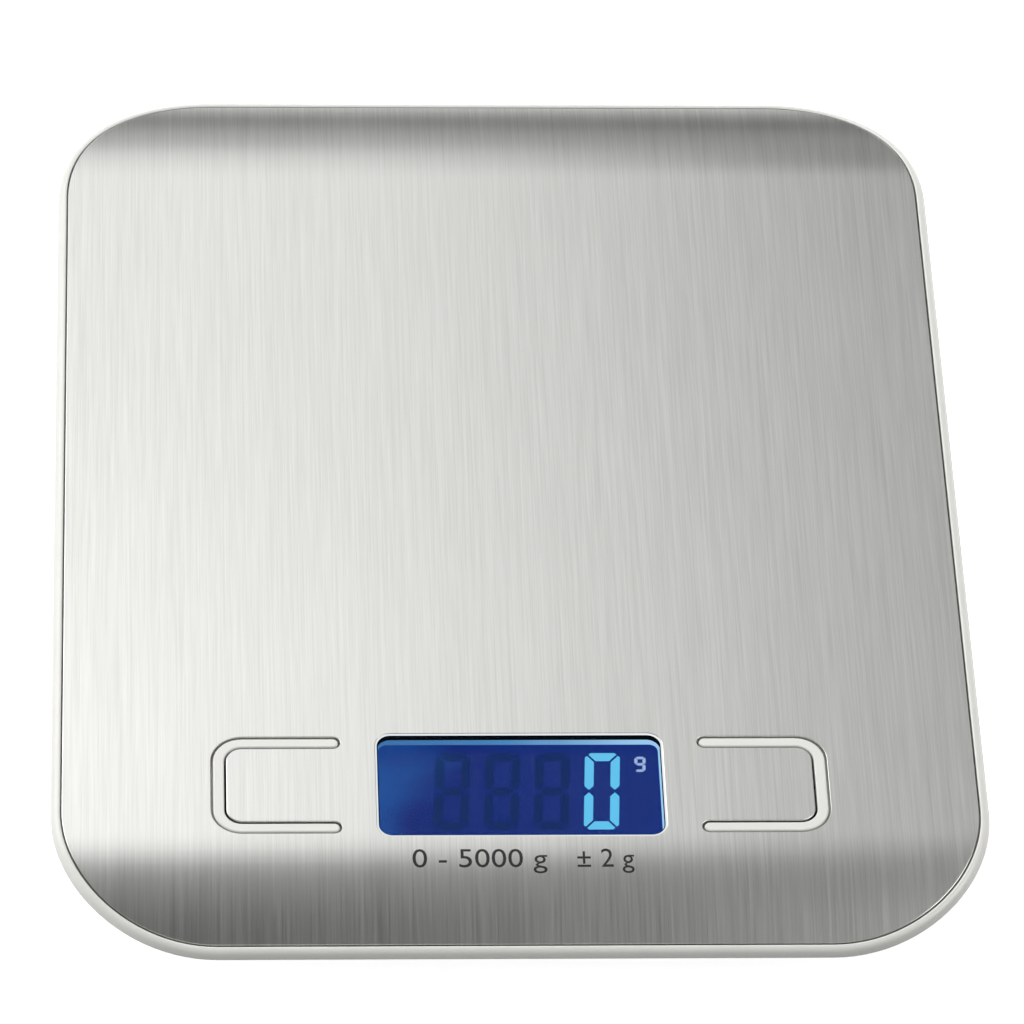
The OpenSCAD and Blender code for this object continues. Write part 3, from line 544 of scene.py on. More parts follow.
def grown(tree, mesh, **sizes):
    """Runs a tree on a mesh and returns the result as a plain mesh."""
    maker = bpy.data.objects.new("maker", mesh)
    modifier = maker.modifiers.new("grow", "NODES")
    modifier.node_group = tree
    for socket in tree.interface.items_tree:
        key = socket.name.lower().replace(" ", "_")
        if socket.in_out == "INPUT" and key in sizes:
            modifier[socket.identifier] = sizes[key]
    bpy.context.scene.collection.objects.link(maker)
    made = bpy.data.meshes.new_from_object(maker.evaluated_get(bpy.context.evaluated_depsgraph_get()))
    bpy.data.objects.remove(maker)
    return made


def wire(points, closed=True):
    """A mesh of bare edges through points."""
    mesh = bpy.data.meshes.new("wire")
    edges = [(i, i + 1) for i in range(len(points) - 1)] + ([(len(points) - 1, 0)] if closed else [])
    mesh.from_pydata(points, edges, [])
    return mesh


# %% Sweep round the outline
def sweep_tree():
    """Takes a section round a path, and lets its upper part drop along the rolled edges."""
    tree, given = geometry_tree(
        "sweep_round_outline", section="Object", roll_start="Float", roll_radius="Float",
        fixed_height="Float", free_height="Float",
    )

    def maths(operation, *values):
        return add(tree, "ShaderNodeMath", dict(enumerate(values)), operation=operation).outputs[0]

    path = add(tree, "GeometryNodeMeshToCurve", {0: given["Geometry"]}).outputs[0]
    level = add(tree, "GeometryNodeSetCurveNormal", {0: path}, mode="Z_UP").outputs[0]
    kept = add(tree, "GeometryNodeCaptureAttribute")
    kept.capture_items.new("VECTOR", "Station")
    tree.links.new(level, kept.inputs[0])
    tree.links.new(add(tree, "GeometryNodeInputPosition").outputs[0], kept.inputs[1])
    section = add(tree, "GeometryNodeObjectInfo", {"Object": given["Section"]}).outputs["Geometry"]
    outline = add(tree, "GeometryNodeMeshToCurve", {0: section}).outputs[0]
    swept = add(tree, "GeometryNodeCurveToMesh", {0: kept.outputs[0], 1: outline}).outputs[0]
    station = add(tree, "ShaderNodeSeparateXYZ", {0: kept.outputs[1]}).outputs[1]
    past = maths("MAXIMUM", maths("SUBTRACT", maths("ABSOLUTE", station), given["Roll Start"]), 0.0)
    squared = maths("MULTIPLY", given["Roll Radius"], given["Roll Radius"])
    left_over = maths("SQRT", maths("SUBTRACT", squared, maths("MULTIPLY", past, past)))
    drop = maths("SUBTRACT", left_over, given["Roll Radius"])
    place = add(tree, "GeometryNodeInputPosition").outputs[0]
    here = add(tree, "ShaderNodeSeparateXYZ", {0: place}).outputs[2]
    share = between(tree, here, 0.0, 1.0, given["Fixed Height"], given["Free Height"])
    moved = add(tree, "ShaderNodeCombineXYZ", {2: maths("MULTIPLY", drop, share)}).outputs[0]
    end_tree(tree, given, add(tree, "GeometryNodeSetPosition", {0: swept, "Offset": moved}).outputs[0])
    return tree


# %% Rows, copies at points and coils
def row_tree():
    """Repeats a mesh along a straight row."""
    tree, given = geometry_tree("row_of_copies", count="Int", step="Vector")
    line = add(tree, "GeometryNodeMeshLine", {"Count": given["Count"], "Offset": given["Step"]}).outputs[0]
    copies = add(tree, "GeometryNodeInstanceOnPoints", {0: line, "Instance": given["Geometry"]}).outputs[0]
    end_tree(tree, given, copies)
    return tree


def copies_tree():
    """Puts a piece at every point."""
    tree, given = geometry_tree("copies_at_points", piece="Object")
    piece = add(tree, "GeometryNodeObjectInfo", {"Object": given["Piece"]}).outputs["Geometry"]
    copies = add(tree, "GeometryNodeInstanceOnPoints", {0: given["Geometry"], "Instance": piece}).outputs[0]
    end_tree(tree, given, copies)
    return tree


def coil_tree():
    """A wire wound from one radius to another, with its first turn on the origin's plane."""
    labels = ("turns", "wire_radius", "start_radius", "end_radius", "length")
    tree, given = geometry_tree("coil_of_wire", **dict.fromkeys(labels, "Float"))
    coil = add(tree, "GeometryNodeCurveSpiral", {
        "Resolution": 24, "Rotations": given["Turns"], "Start Radius": given["Start Radius"],
        "End Radius": given["End Radius"], "Height": given["Length"],
    }).outputs[0]
    ring = add(tree, "GeometryNodeCurvePrimitiveCircle", {"Resolution": 10, "Radius": given["Wire Radius"]})
    wound = add(tree, "GeometryNodeCurveToMesh", {0: coil, 1: ring.outputs[0], "Fill Caps": True})
    end_tree(tree, given, wound.outputs[0])
    return tree


SWEEP, ROW, COPIES, COIL = sweep_tree(), row_tree(), copies_tree(), coil_tree()
print("trees:", [tree.name for tree in bpy.data.node_groups])


def swept_round(section, top_height):
    """A closed section of (outward, height) pairs, taken round the sheet. Its heights go in as -Y."""
    template = bpy.data.objects.new("section", wire([(u, -z, 0) for u, z in section]))
    path = wire([(x, y, 0) for x, y in rounded(SHEET_W, SHEET_D, CORNER_R, steps=24)])
    mesh = grown(
        SWEEP, path, section=template, roll_start=ROLL_Y, roll_radius=ROLL_R,
        fixed_height=PARTING, free_height=top_height, material=ABS,
    )
    bpy.data.objects.remove(template)
    return mesh


def at_points(mesh, points, mat):
    """One mesh at many points."""
    template = bpy.data.objects.new("piece", mesh)
    made = grown(COPIES, wire(points, False), piece=template, material=mat)
    bpy.data.objects.remove(template)
    return made


def corners(x, y, about=(0, 0)):
    """Four points, at plus and minus two distances about a middle."""
    return [(about[0] + i * x, about[1] + j * y, 0) for i in (-1, 1) for j in (-1, 1)]


# %% [markdown]
# ## The weighing plate and its two keys
# One sheet, pierced and then rolled down along the front and back. The keys are tongues of the same
# sheet: a U-shaped slot frees them on three sides, and they flex about the fourth. So the whole sheet is
# made at once, brushed in one go, and parted along the two bending lines afterwards.

# %% Weighing plate and keys
def sheet_mesh():
    loops = [rounded(SHEET_W, SHEET_D, CORNER_R, steps=28), window_outline()]
    loops += [slot_outline(side, SLOT_W) for side in (-1, 1)]
    return rolled(plate_mesh(loops, TOP - SHEET_T, TOP, edge=0.11 * MM, steps=1))


def part_of(mesh, keep):
    """A copy of a mesh that keeps the faces whose middle passes a test."""
    made = bpy.data.meshes.new("part")
    with editing(made, mesh) as bm:
        bmesh.ops.delete(bm, geom=[f for f in bm.faces if not keep(f.calc_center_median())], context="FACES")
    return made


def on_key(c):
    """-1 or 1 for the key that a point lies on, inside the slot's middle line, and 0 on neither."""
    past_x, past_y = abs(c.x) - (KEY_TIP - KEY_R), abs(c.y - PANEL_Y) - (KEY_HALF - KEY_R)
    if not (KEY_ROOT < abs(c.x) and max(past_x, past_y) < KEY_R):
        return 0
    inside = min(past_x, past_y) < 0 or past_x**2 + past_y**2 < KEY_R**2
    return (1 if c.x > 0 else -1) if inside else 0


whole = sheet_mesh()
with editing(whole) as bm:
    for side in (-1, 1):
        root = ((side * KEY_ROOT, 0, 0), (1, 0, 0))
        sides = [((0, PANEL_Y + way * KEY_HALF, 0), (0, 1, 0)) for way in (-1, 1)]
        for place, across in (root, *sides):
            cut_at(bm, place, across, lambda c: abs(c.y - PANEL_Y) < 2 * KEY_HALF)

for name, key, node, body in (
    ("weighing_plate", 0, "steel_platform", "housing"), ("key_left", -1, "tare_key", "tare_key"),
    ("key_right", 1, "unit_key", "unit_key"),
):
    part = part_of(whole, lambda c: on_key(c) == key)
    new_piece(name, part, STEEL, [node], body)
    print(name, "faces:", len(part.polygons))

# %% [markdown]
# ## The upper housing
# Its rim is what shows: a soft rounded lip that follows the sheet's edge, also down the rolled ends, and
# a skirt that tucks in below. The section is the same all round, so it is swept round the outline. Along
# the rolled ends the lip has to drop with the sheet while the parting line stays level, so the sweep's
# tree lowers each point by its share of the drop.

# %% Rim and skirt
WALL = 1.6 * MM
SKIRT_TOP = TOP - 2.6 * MM              # from here up, the rim drops all the way with the sheet


def bow(x, z, across, up, start, end, step):
    """Points of an upright ellipse about (x, z), in whole degrees."""
    turns = [radians(a) for a in range(start, end + step, step)]
    return [(x + across * cos(a), z + up * sin(a)) for a in turns]


def lip_section():
    """The rim's closed section: outward distance from the sheet's edge, and height."""
    root, inner, skirt_in = LIP_GAP + 0.1 * MM, -2.6 * MM, -0.6 * MM
    widest, seat = TOP - LIP_FALL, TOP - SHEET_T - 2 * MM
    rise, belly = LIP_FALL - 0.03 * MM, 0.8 * MM
    upper = bow(root, widest, LIP_OUT - root, rise, 84, 0, -7)
    lower = bow(root, widest, LIP_OUT - root, belly, -11, -88, -11)
    skirt = bow(skirt_in, PARTING, -PARTING_IN - skirt_in, SKIRT_TOP - PARTING, 90, 0, -10)
    back = bow(inner, PARTING, -PARTING_IN - WALL - inner, SKIRT_TOP - 0.4 * MM - PARTING, 0, 90, 10)
    return [
        (inner, seat), (LIP_GAP, seat), (LIP_GAP, TOP - 0.15 * MM), *upper, *lower, (root, widest - belly),
        *skirt, (-PARTING_IN - WALL, PARTING), *back,
    ]


rim_mesh = swept_round(lip_section(), SKIRT_TOP)
print("rim faces:", len(rim_mesh.polygons))

# %% [markdown]
# Under the sheet lies the deck, which carries it. It has the window's opening, a well for each key's
# stiffener, and a rib that fills each key's slot from below. Only the rib shows from above, as a white
# line between two dark gaps. Thin stays stiffen the deck from below, and six bosses take the housing
# screws.

# %% Deck and ribs
DECK_T = 1.5 * MM
UNDERCUT = 0.3 * MM                     # the deck stands back from the slot, so the gap stays dark
REACH = SLOT_W / 2 + UNDERCUT
deck_top = TOP - SHEET_T
deck_low = deck_top - DECK_T
deck_outline = rounded(SHEET_W - 4 * MM, SHEET_D - 4 * MM, CORNER_R - 2 * MM, steps=20)
grooves = [tongue_outline(side, REACH, KEY_ROOT - REACH) for side in (-1, 1)]
wells = [tongue_outline(side, -RIB_W / 2) for side in (-1, 1)]
deck = rolled(plate_mesh([deck_outline, window_outline(), *grooves], deck_low, deck_top - 0.02 * MM), rows=12)
shelves = [plate_mesh(pair, deck_low, deck_top - 1.3 * MM) for pair in zip(grooves, wells)]
ribs = [
    plate_mesh([slot_outline(side, RIB_W)], deck_low, TOP - 0.05 * MM, edge=0.3 * MM, steps=3)
    for side in (-1, 1)
]
print("deck faces:", len(deck.polygons), "rib faces:", sum(len(rib.polygons) for rib in ribs))

# %% Stays, bosses and the whole upper housing
STAY_T = 1.2 * MM
STAY_FRONT = -48 * MM
STAY_SIDE = 60 * MM
SCREWS_AT = [(x * MM, y * MM, 0) for x, y in ((-66, -44), (66, -44), (-66, 44), (66, 44), (0, -46), (0, 88))]
BOSS = [(1.45, 7), (1.45, 5.4), (2.8, 5.4), (3, 5.6), (3, 15.3), (0, 15.3)]


def stay(low_x, low_y, high_x, high_y):
    """A stay under the deck, between two corners."""
    return box_mesh((low_x, low_y, deck_low - 2.6 * MM), (high_x, high_y, deck_low + 0.4 * MM), 0.2 * MM)


stays = [
    stay(x * MM - STAY_T / 2, STAY_FRONT, x * MM + STAY_T / 2, back * MM)
    for x, back in ((-60, 48), (-35, 80), (35, 80), (60, 48))
]
stays += [stay(-STAY_SIDE, y * MM, STAY_SIDE, y * MM + STAY_T) for y in (-48, 40, 62)]
bosses = at_points(turned_mesh(BOSS), SCREWS_AT, ABS)
upper_mesh = joined(rim_mesh, deck, *shelves, *ribs, *stays, bosses)
new_piece("upper_housing_shell", upper_mesh, ABS, ["upper_housing"])
print("upper housing faces:", len(upper_mesh.polygons))

# %% [markdown]
# ## The base
# The lower housing curls in from the parting line to a flat underside. Its section is a quarter ellipse,
# swept round the outline. The flat floor has holes for the four feet, the screws and the battery door. A
# hole that crosses the floor's outline can't be a loop of the plate, because the fill fails where loops
# cross, so the screw holes are cut out afterwards.

# %% Hull, screw holes and the door's place
FLOOR_T = 1.6 * MM
RUN, RISE = BASE_IN - PARTING_IN, PARTING - BASE_Z
HOLE_R, HOLE_TOP = 3, 6                 # in millimetres, as in every turned profile
DOOR_W, DOOR_D, DOOR_GAP = door_high.x - door_low.x, 26.6 * MM, 0.3 * MM
DOOR_Y = door_low.y + DOOR_D / 2        # the door's hooks stand out behind it
hole = [(0, 0), (HOLE_R, 0), (HOLE_R, HOLE_TOP), (0, HOLE_TOP)]
screw_holes = [turned_mesh(hole, x, y, steps=36) for x, y, _ in SCREWS_AT]
outer = bow(-BASE_IN, PARTING, RUN, -RISE, 0, 90, 9)
inner = bow(-BASE_IN, PARTING, RUN - FLOOR_T, FLOOR_T - RISE, 90, 0, -9)
hull = cut(swept_round(outer + inner, TOP), joined(*screw_holes))
print("hull faces:", len(hull.polygons))

# %% Floor, with a finger notch in front of the door and slots for its hooks behind
HOOK_X, HOOK_W = 16 * MM, 8.8 * MM
HOOK_FROM, HOOK_TO = 10.8 * MM, 15.8 * MM
foot_low, foot_high = (Vector(v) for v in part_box("foot_fl"))
FEET_AT = corners(abs(foot_low.x + foot_high.x) / 2, abs(foot_low.y + foot_high.y) / 2)
notch = plate_mesh(
    [rounded(12 * MM, 10 * MM, 2 * MM, DOOR_Y - DOOR_D / 2)], BASE_Z - 1 * MM, BASE_Z + 0.9 * MM
)
hook_front, hook_back = (DOOR_Y + HOOK_FROM, BASE_Z - 1 * MM), (DOOR_Y + HOOK_TO, BASE_Z + 4 * MM)
hook_slots = joined(*[
    box_mesh((x - HOOK_W / 2, *hook_front), (x + HOOK_W / 2, *hook_back)) for x in (-HOOK_X, HOOK_X)
])
floor_loops = [
    rounded(SHEET_W - 2 * BASE_IN + 0.02 * MM, SHEET_D - 2 * BASE_IN + 0.02 * MM, CORNER_R - BASE_IN),
    rounded(DOOR_W + 2 * DOOR_GAP, DOOR_D + 2 * DOOR_GAP, 2 * MM, DOOR_Y, steps=6),
]
floor_loops += [arc(x, y, 9.4 * MM, 0, 354, 59) for x, y, _ in FEET_AT]
floor_plate = cut(plate_mesh(floor_loops, BASE_Z, BASE_Z + FLOOR_T), joined(*screw_holes, notch, hook_slots))
print("floor faces:", len(floor_plate.polygons))

# %% Battery bay: its walls, its roof and the ledge round the door
BAY_LEN, BAY_W, BAY_Y, BAY_TOP = 51 * MM, 22.6 * MM, DOOR_Y, 14.25 * MM
BAY_WALL = 1.2 * MM
bay_outside = rounded(BAY_LEN + 2 * BAY_WALL, BAY_W + 2 * BAY_WALL, 1.5 * MM, BAY_Y, steps=6)
bay_inside = rounded(BAY_LEN, BAY_W, 0.3 * MM, BAY_Y, steps=4)
door_hole = rounded(DOOR_W + 4 * DOOR_GAP, DOOR_D + 4 * DOOR_GAP, 2 * MM, BAY_Y, steps=6)
bay = joined(
    cut(plate_mesh([bay_outside, bay_inside], BASE_Z + 1.1 * MM, BAY_TOP), hook_slots),
    plate_mesh([bay_outside], BAY_TOP, BAY_TOP + 0.5 * MM),
    cut(plate_mesh([door_hole, bay_inside], BASE_Z + 1.5 * MM, BASE_Z + FLOOR_T), hook_slots),
)
print("bay faces:", len(bay.polygons))

# %% Screw wells, the load cells' posts and the whole base
POST_AT = 11 * MM                       # the four posts of a cell stand this far from its middle
WELL = [(4.2, 3), (4.2, 5.2), (4, 5.4), (1.6, 5.4), (1.6, 4.4), (3, 4.4), (3, 2.2), (3.2, 2)]
POST = [
    (0, 3.4), (2, 3.4), (2, 5.58), (1, 5.58), (1, 6.65), (1.7, 6.65), (1.7, 6.95), (1.3, 7.2), (0, 7.25),
]
screw_wells = at_points(turned_mesh(WELL), SCREWS_AT, ABS_BASE)
post_points = [post for x, y, _ in FEET_AT for post in corners(POST_AT, POST_AT, (x, y))]
posts = at_points(turned_mesh(POST, steps=24), post_points, ABS_BASE)
base_mesh = joined(hull, floor_plate, bay, screw_wells, posts)
new_piece("base_shell", base_mesh, ABS_BASE, ["lower_housing"])
print("base faces:", len(base_mesh.polygons))

# %% [markdown]
# ## The display
# The window is a plate of acrylic with a polished edge, in the sheet's cut-out. The digits lie on the
# glass below it. A seven-segment digit is a rule rather than a drawing: seven mitred bars on a leaning
# grid. One function gives the bars' outlines, and both the large digits and the small g are made with it.

# %% Window
WINDOW_GAP = 0.28 * MM
window_top = glass_high.z
pane = window_outline(WINDOW_GAP)
window_mesh = plate_mesh([pane], glass_low.z + 0.02 * MM, window_top, edge=0.25 * MM, steps=3)
new_piece("display_window_acrylic", window_mesh, ACRYLIC, ["display_window"])
print("window:", [round((size - 2 * WINDOW_GAP) / MM, 2) for size in (WINDOW_W, WINDOW_D)], "mm")

# %% Segments, in millimetres
DIGIT = {"w": 6.5, "h": 17.6, "sx": 1.97, "sy": 2.2}    # width, height and the bars' widths
LITTLE_G = {"w": 2.05, "h": 3.5, "sx": 0.62, "sy": 0.62, "c": 0.5}
LEAN = 0.055                            # how far a digit leans to the right, per unit of height
LCD_Z = glass_low.z - 0.02 * MM


def segments(keys, w, h, sx, sy, c=1.1):
    """Mitred outlines of a seven-segment digit's bars, with its lower left corner at the origin."""
    m = h / 2
    top = [(c / 2, h - c / 2), (c, h), (w - c, h), (w - c / 2, h - c / 2), (w - sx, h - sy), (sx, h - sy)]
    left = [(0, h - c), (c / 2, h - c / 2), (sx, h - sy), (sx, m + sy / 2), (sx / 2, m), (0, m + sy / 2)]
    half = [(sx / 2, m), (sx, m + sy / 2), (w - sx, m + sy / 2)]
    shapes = {
        "a": top, "f": left, "e": [(x, h - y) for x, y in left], "d": [(x, h - y) for x, y in top],
        "b": [(w - x, y) for x, y in left], "c": [(w - x, h - y) for x, y in left],
        "g": half + [(w - x, h - y) for x, y in half],
    }
    return [shapes[key] for key in keys]


def bars(shapes, x, y, inset=0.19 * MM):
    """Thin leaning bars that lie on the glass, from outlines in millimetres and a place in metres."""
    low = LCD_Z + 0.03 * MM
    placed = [[(x + (px + LEAN * py) * MM, y + py * MM) for px, py in shape] for shape in shapes]
    return joined(*[plate_mesh([shape], low, low + 0.01 * MM, inset=inset) for shape in placed])


def on_display(name, mesh, mat, nodes=()):
    return new_piece(name, mesh, mat, nodes)


# %% Digits, lit and unlit
PITCH = 8.7 * MM
digit_x, digit_y = 10.56 * MM, -77.0 * MM
on_display("segments_lit", bars(segments("abcdef", **DIGIT), digit_x, digit_y), LCD_LIT)
small_g = bars(segments("abcdfg", **LITTLE_G), 20.1 * MM, -63.9 * MM, inset=0.03 * MM)
on_display("symbol_lit", small_g, LCD_UNIT)
eight = bars(segments("abcdefg", **DIGIT), digit_x - PITCH, digit_y)
eights = grown(ROW, eight, count=3, step=(-PITCH, 0, 0), material=LCD_GHOST)
on_display("segments_off", eights, LCD_GHOST)
print("unlit digits:", len(eights.polygons), "faces")

# %% Layers round the window
HAIRLINE = 0.2 * MM                     # a painted dark line round the window's edge, for the dark that its polished edge refracts
# Lower edge of the painted shade in the window's gap.
SHADE_BAND_LOW = TOP - 1.65 * MM
gap_loops = [window_outline(), pane]
edge_glow = plate_mesh(
    [
        rounded(WINDOW_W + 2 * MM, WINDOW_D + 5 * MM, WINDOW_R, PANEL_Y),
        rounded(WINDOW_W - 1.2 * MM, WINDOW_D - 1.8 * MM, 1.6 * MM, PANEL_Y + 0.45 * MM),
    ],
    LCD_Z + 0.03 * MM, LCD_Z + 0.04 * MM,
)
on_display("lcd_border", edge_glow, LCD_EDGE)
hairline_loops = [pane, window_outline(WINDOW_GAP + HAIRLINE)]
# A near-black unlit ring on the window's top, inside its edge: a painted dark line for the refraction at the
# polished edge.
on_display(
    "window_hairline", plate_mesh(hairline_loops, window_top + 0.002 * MM, window_top + 0.01 * MM), WINDOW_EDGE_PAINTED_DARK
)
for name, low, high, mat in (
    # Painted shade: a near-black band in the gap at the back and sides, where the opening's walls lie in
    # shadow.
    ("window_foam", SHADE_BAND_LOW, TOP - 0.25 * MM, WINDOW_PAINTED_SHADE),
    # Painted light: below that band the opening's walls glow blue, for the backlight that falls on them.
    ("window_edge_glow", glass_low.z + 0.02 * MM, SHADE_BAND_LOW - 0.01 * MM, LCD_EDGE),
):
    on_display(name, part_of(plate_mesh(gap_loops, low, high), lambda c: c.y > PANEL_Y - 10 * MM), mat)
# A thin ring in the gap round the window that glows white under any light: a painted highlight for the
# cut-out's bright edge.
new_piece("window_seal", plate_mesh(gap_loops, TOP - 0.24 * MM, TOP - 0.12 * MM), WINDOW_EDGE_HIGHLIGHT)
glass_outline = rounded(lcd_high.x - lcd_low.x, lcd_high.y - lcd_low.y, 0.5 * MM, PANEL_Y)
glass_mesh = plate_mesh([glass_outline], lcd_low.z, LCD_Z, edge=0.1 * MM)
on_display("lcd_glass", glass_mesh, LCD_BLUE, ["lcd_panel"])

# %% [markdown]
# ## Printed marks
# A little dark grey pad-printing lies on the sheet in front of the display, where the edge begins to roll
# down. The marks are only a range and a tolerance, in plain numerals. Letters start as a text curve,
# which becomes a mesh, is cut into narrow rows and then follows the sheet's roll. The print is 0.01 mm
# thick.

# %% Print
INK, ink_tree, ink_shader = material("pad_print_grey", roughness=0.5)
ink_cloud = noise(ink_tree, (0.25 * MM,) * 3)
ink_tree.links.new(tint(ink_tree, ink_cloud, "#1d1e1f", "#292a2b"), ink_shader.inputs["Base Color"])
CAP = 3.8 * MM                          # height of the capitals
BASELINE = -86.9 * MM
PRINT_T, PRINT_SUNK = 0.01 * MM, 0.02 * MM
ROWS_BELOW, ROWS = 4, 16                # rows that the letters are cut into, ten to a capital's height


def print_mesh(body, left, right):
    """Letters between two X places, laid on the sheet."""
    curve = bpy.data.curves.new("print", "FONT")
    curve.body = body
    curve.size = 1
    curve.extrude = 0.0001              # only tells the top from the underside
    curve.resolution_u = 4
    maker = bpy.data.objects.new("print", curve)
    mesh = bpy.data.meshes.new_from_object(maker)
    bpy.data.objects.remove(maker)
    xs, ys = [v.co.x for v in mesh.vertices], [v.co.y for v in mesh.vertices]
    wide, tall = (right - left) / (max(xs) - min(xs)), CAP / max(ys)
    for v in mesh.vertices:
        x, y = left + (v.co.x - min(xs)) * wide, BASELINE + v.co.y * tall
        v.co = (x, y, PRINT_T if v.co.z > 0 else -PRINT_SUNK)
    with editing(mesh) as bm:
        for row in range(ROWS):
            cut_at(bm, (0, BASELINE + (row - ROWS_BELOW) * CAP / 10, 0), (0, 1, 0))
        for v in bm.verts:
            v.co.z += surface_z(v.co.y)
    return mesh


text = joined(print_mesh("0 - 5000 g", -19.2 * MM, 4 * MM), print_mesh("± 2 g", 9.2 * MM, 19 * MM))
new_piece("printed_marks", text, INK)
print("print faces:", len(text.polygons))

# %% [markdown]
# ## Feet, screws and batteries
# Each foot is turned from one profile, and so is its rubber pad, with a raised ring that grips the table.
# The screws share one shape too: a pan head with a cross recess. The cells have a shrunk jacket round a
# nickel can, and a coil of four turns, wound by a tree, presses on each cell's flat end. Profiles are in
# millimetres.

# %% Feet and pads
FOOT = [
    (7.9, 1.6), (7.9, 1.15), (8.05, 1), (8.6, 1), (8.9, 1.12), (9, 1.4), (9, 3.62), (10.25, 3.62),
    (10.4, 3.8), (10.4, 4.25), (10.2, 4.42), (3.2, 4.42), (3, 4.6), (3, 5.05), (2.8, 5.2), (0, 5.2),
]
PAD = [
    (0, 0.25), (4.2, 0.25), (4.6, 0.05), (4.8, 0), (6.9, 0), (7.4, 0.12), (7.7, 0.4), (7.8, 0.7),
    (7.8, 1.55), (0, 1.55),
]
for name, profile, mat, slot, node in (
    ("feet_moulded", FOOT, ABS_INNER, "white_abs_inner", "foot_"),
    ("feet_pads", PAD, RUBBER_GREY, "foot_rubber", "pad_"),
):
    four = at_points(turned_mesh(profile, steps=64), FEET_AT, mat)
    new_piece(name, four, mat, [node + place for place in ("fl", "fr", "bl", "br")])
    print(name, "faces:", len(four.polygons))

# %% Screws
SCREW = [
    (0, 2.9), (1.9, 2.9), (2.3, 3.1), (2.6, 3.6), (2.6, 4.35), (2.5, 4.4), (1.35, 4.4), (1.35, 10.2),
    (0, 10.8),
]
RECESS_LEN, RECESS_W, RECESS_TOP = 1.5 * MM, 0.3 * MM, 3.65 * MM
screw = turned_mesh(SCREW, steps=32)
for x, y in ((RECESS_LEN, RECESS_W), (RECESS_W, RECESS_LEN)):
    screw = cut(screw, box_mesh((-x, -y, 2 * MM), (x, y, RECESS_TOP)))
screws_mesh = at_points(screw, SCREWS_AT, ZINC)
new_piece("screws_pan_head", screws_mesh, ZINC, ["housing_screws"])
print("screw faces:", len(screws_mesh.polygons))

# %% Batteries and their springs
CELL_Z = 8.85 * MM
CELL_OFF = 5.55 * MM                    # from the bay's middle line to each cell's
CAN = [
    (0, -21.75), (4.4, -21.75), (4.9, -21.65), (5.1, -21.3), (5.1, 21.3), (4.6, 21.6), (2.1, 21.65),
    (1.9, 21.8), (1.9, 22.45), (1.7, 22.65), (0, 22.65),
]
JACKET_WALL = [(5.05, -21.6), (5.25, -21.4), (5.25, 21.2), (5.05, 21.45), (4.3, 21.5)]
for place, side in (("front", 1), ("back", -1)):
    lay = Matrix.Translation((0, BAY_Y - side * CELL_OFF, CELL_Z)) @ Matrix.Rotation(side * pi / 2, 4, "Y")
    for part, profile, mat, nodes in (
        ("_can", CAN, NICKEL, ["battery_" + place]), ("_jacket", JACKET_WALL, JACKET, []),
    ):
        mesh = turned_mesh(profile)
        mesh.transform(lay)
        new_piece("cell_" + place + part, mesh, mat, nodes)
coils = []
for side in (-1, 1):
    coil = grown(
        COIL, wire([(0, 0, 0)], False), turns=4.0, wire_radius=0.38 * MM, start_radius=3.6 * MM,
        end_radius=2 * MM, length=2.4 * MM, material=NICKEL,
    )
    place = Vector((side * (BAY_LEN / 2 - 0.85 * MM), BAY_Y + side * CELL_OFF, CELL_Z))
    coil.transform(Matrix.Translation(place) @ Matrix.Rotation(-side * pi / 2, 4, "Y"))
    coils.append(coil)
springs_mesh = joined(*coils)
new_piece("battery_coils", springs_mesh, NICKEL, ["battery_springs"])
print("spring faces:", len(springs_mesh.polygons))

# %% [markdown]
# ## Dressing the CAD pieces
# Every other piece keeps its CAD shape, since its shape is right, and gets a finish.

# %% Finishes for the CAD pieces
finishes = {
    ABS_INNER: ["tare_stiffener", "unit_stiffener"],
    ABS_BASE: ["battery_door"],
    ABS_BLACK: ["lcd_frame", "tare_switch", "unit_switch", "tare_plunger", "unit_plunger"],
    GUIDE: ["light_guide"],
    FILM: ["reflector_foil"],
    LED: ["backlight_leds"],
    RUBBER: ["zebra_strip"],
    EPOXY: ["controller_chip"],
    CERAMIC: ["board_parts"],
    CELL_STEEL: ["load_cell_fl", "load_cell_fr", "load_cell_bl", "load_cell_br"],
    GAUGE: ["strain_gauges"],
    NICKEL: ["battery_plates"],
    ZINC: ["board_screws"],
    PVC_RED: ["sensor_leads"],
    PVC_BLACK: ["battery_leads"],
    board_laminate(): ["main_board"],
}
for finish, names in finishes.items():
    for name in names:
        for material_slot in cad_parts[name].material_slots:
            material_slot.material = finish
print("dressed", sum(len(names) for names in finishes.values()), "CAD pieces")

# %% [markdown]
# ## Studio
# The scale stands on a white floor. The sheet mirrors three strips that hang behind it on the left and
# one far light, and the slow fall in brightness from left to right is their soft end. The rolled back
# edge mirrors the room below the strips, and the rolled front edge mirrors the dark ceiling with two dim
# panels on the right. These six are seen only in reflections. Three broad lights, which the steel doesn't
# mirror, light the plastic and the print.

# %% Floor
floor = bpy.data.objects.new("floor", plate_mesh([rounded(6, 6, 0.5)], -0.02, 0.0))
bpy.context.scene.collection.objects.link(floor)
PAPER, paper_tree, paper_shader = material("paper_white", roughness=0.9)
paper_shader.inputs["Specular IOR Level"].default_value = 0.1
paper_shader.inputs["Emission Color"].default_value = srgb("#ffffff")
paper_shader.inputs["Emission Strength"].default_value = 0.76
paper_cloud = noise(paper_tree, (2 * MM,) * 3)
paper_tree.links.new(tint(paper_tree, paper_cloud, "#fbfbfa", "#fdfdfc"), paper_shader.inputs["Base Color"])
floor.data.materials.append(PAPER)
floor.visible_diffuse = False           # it glows a little, and shouldn't light the part from below
floor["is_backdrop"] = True
print("floor:", floor.name)


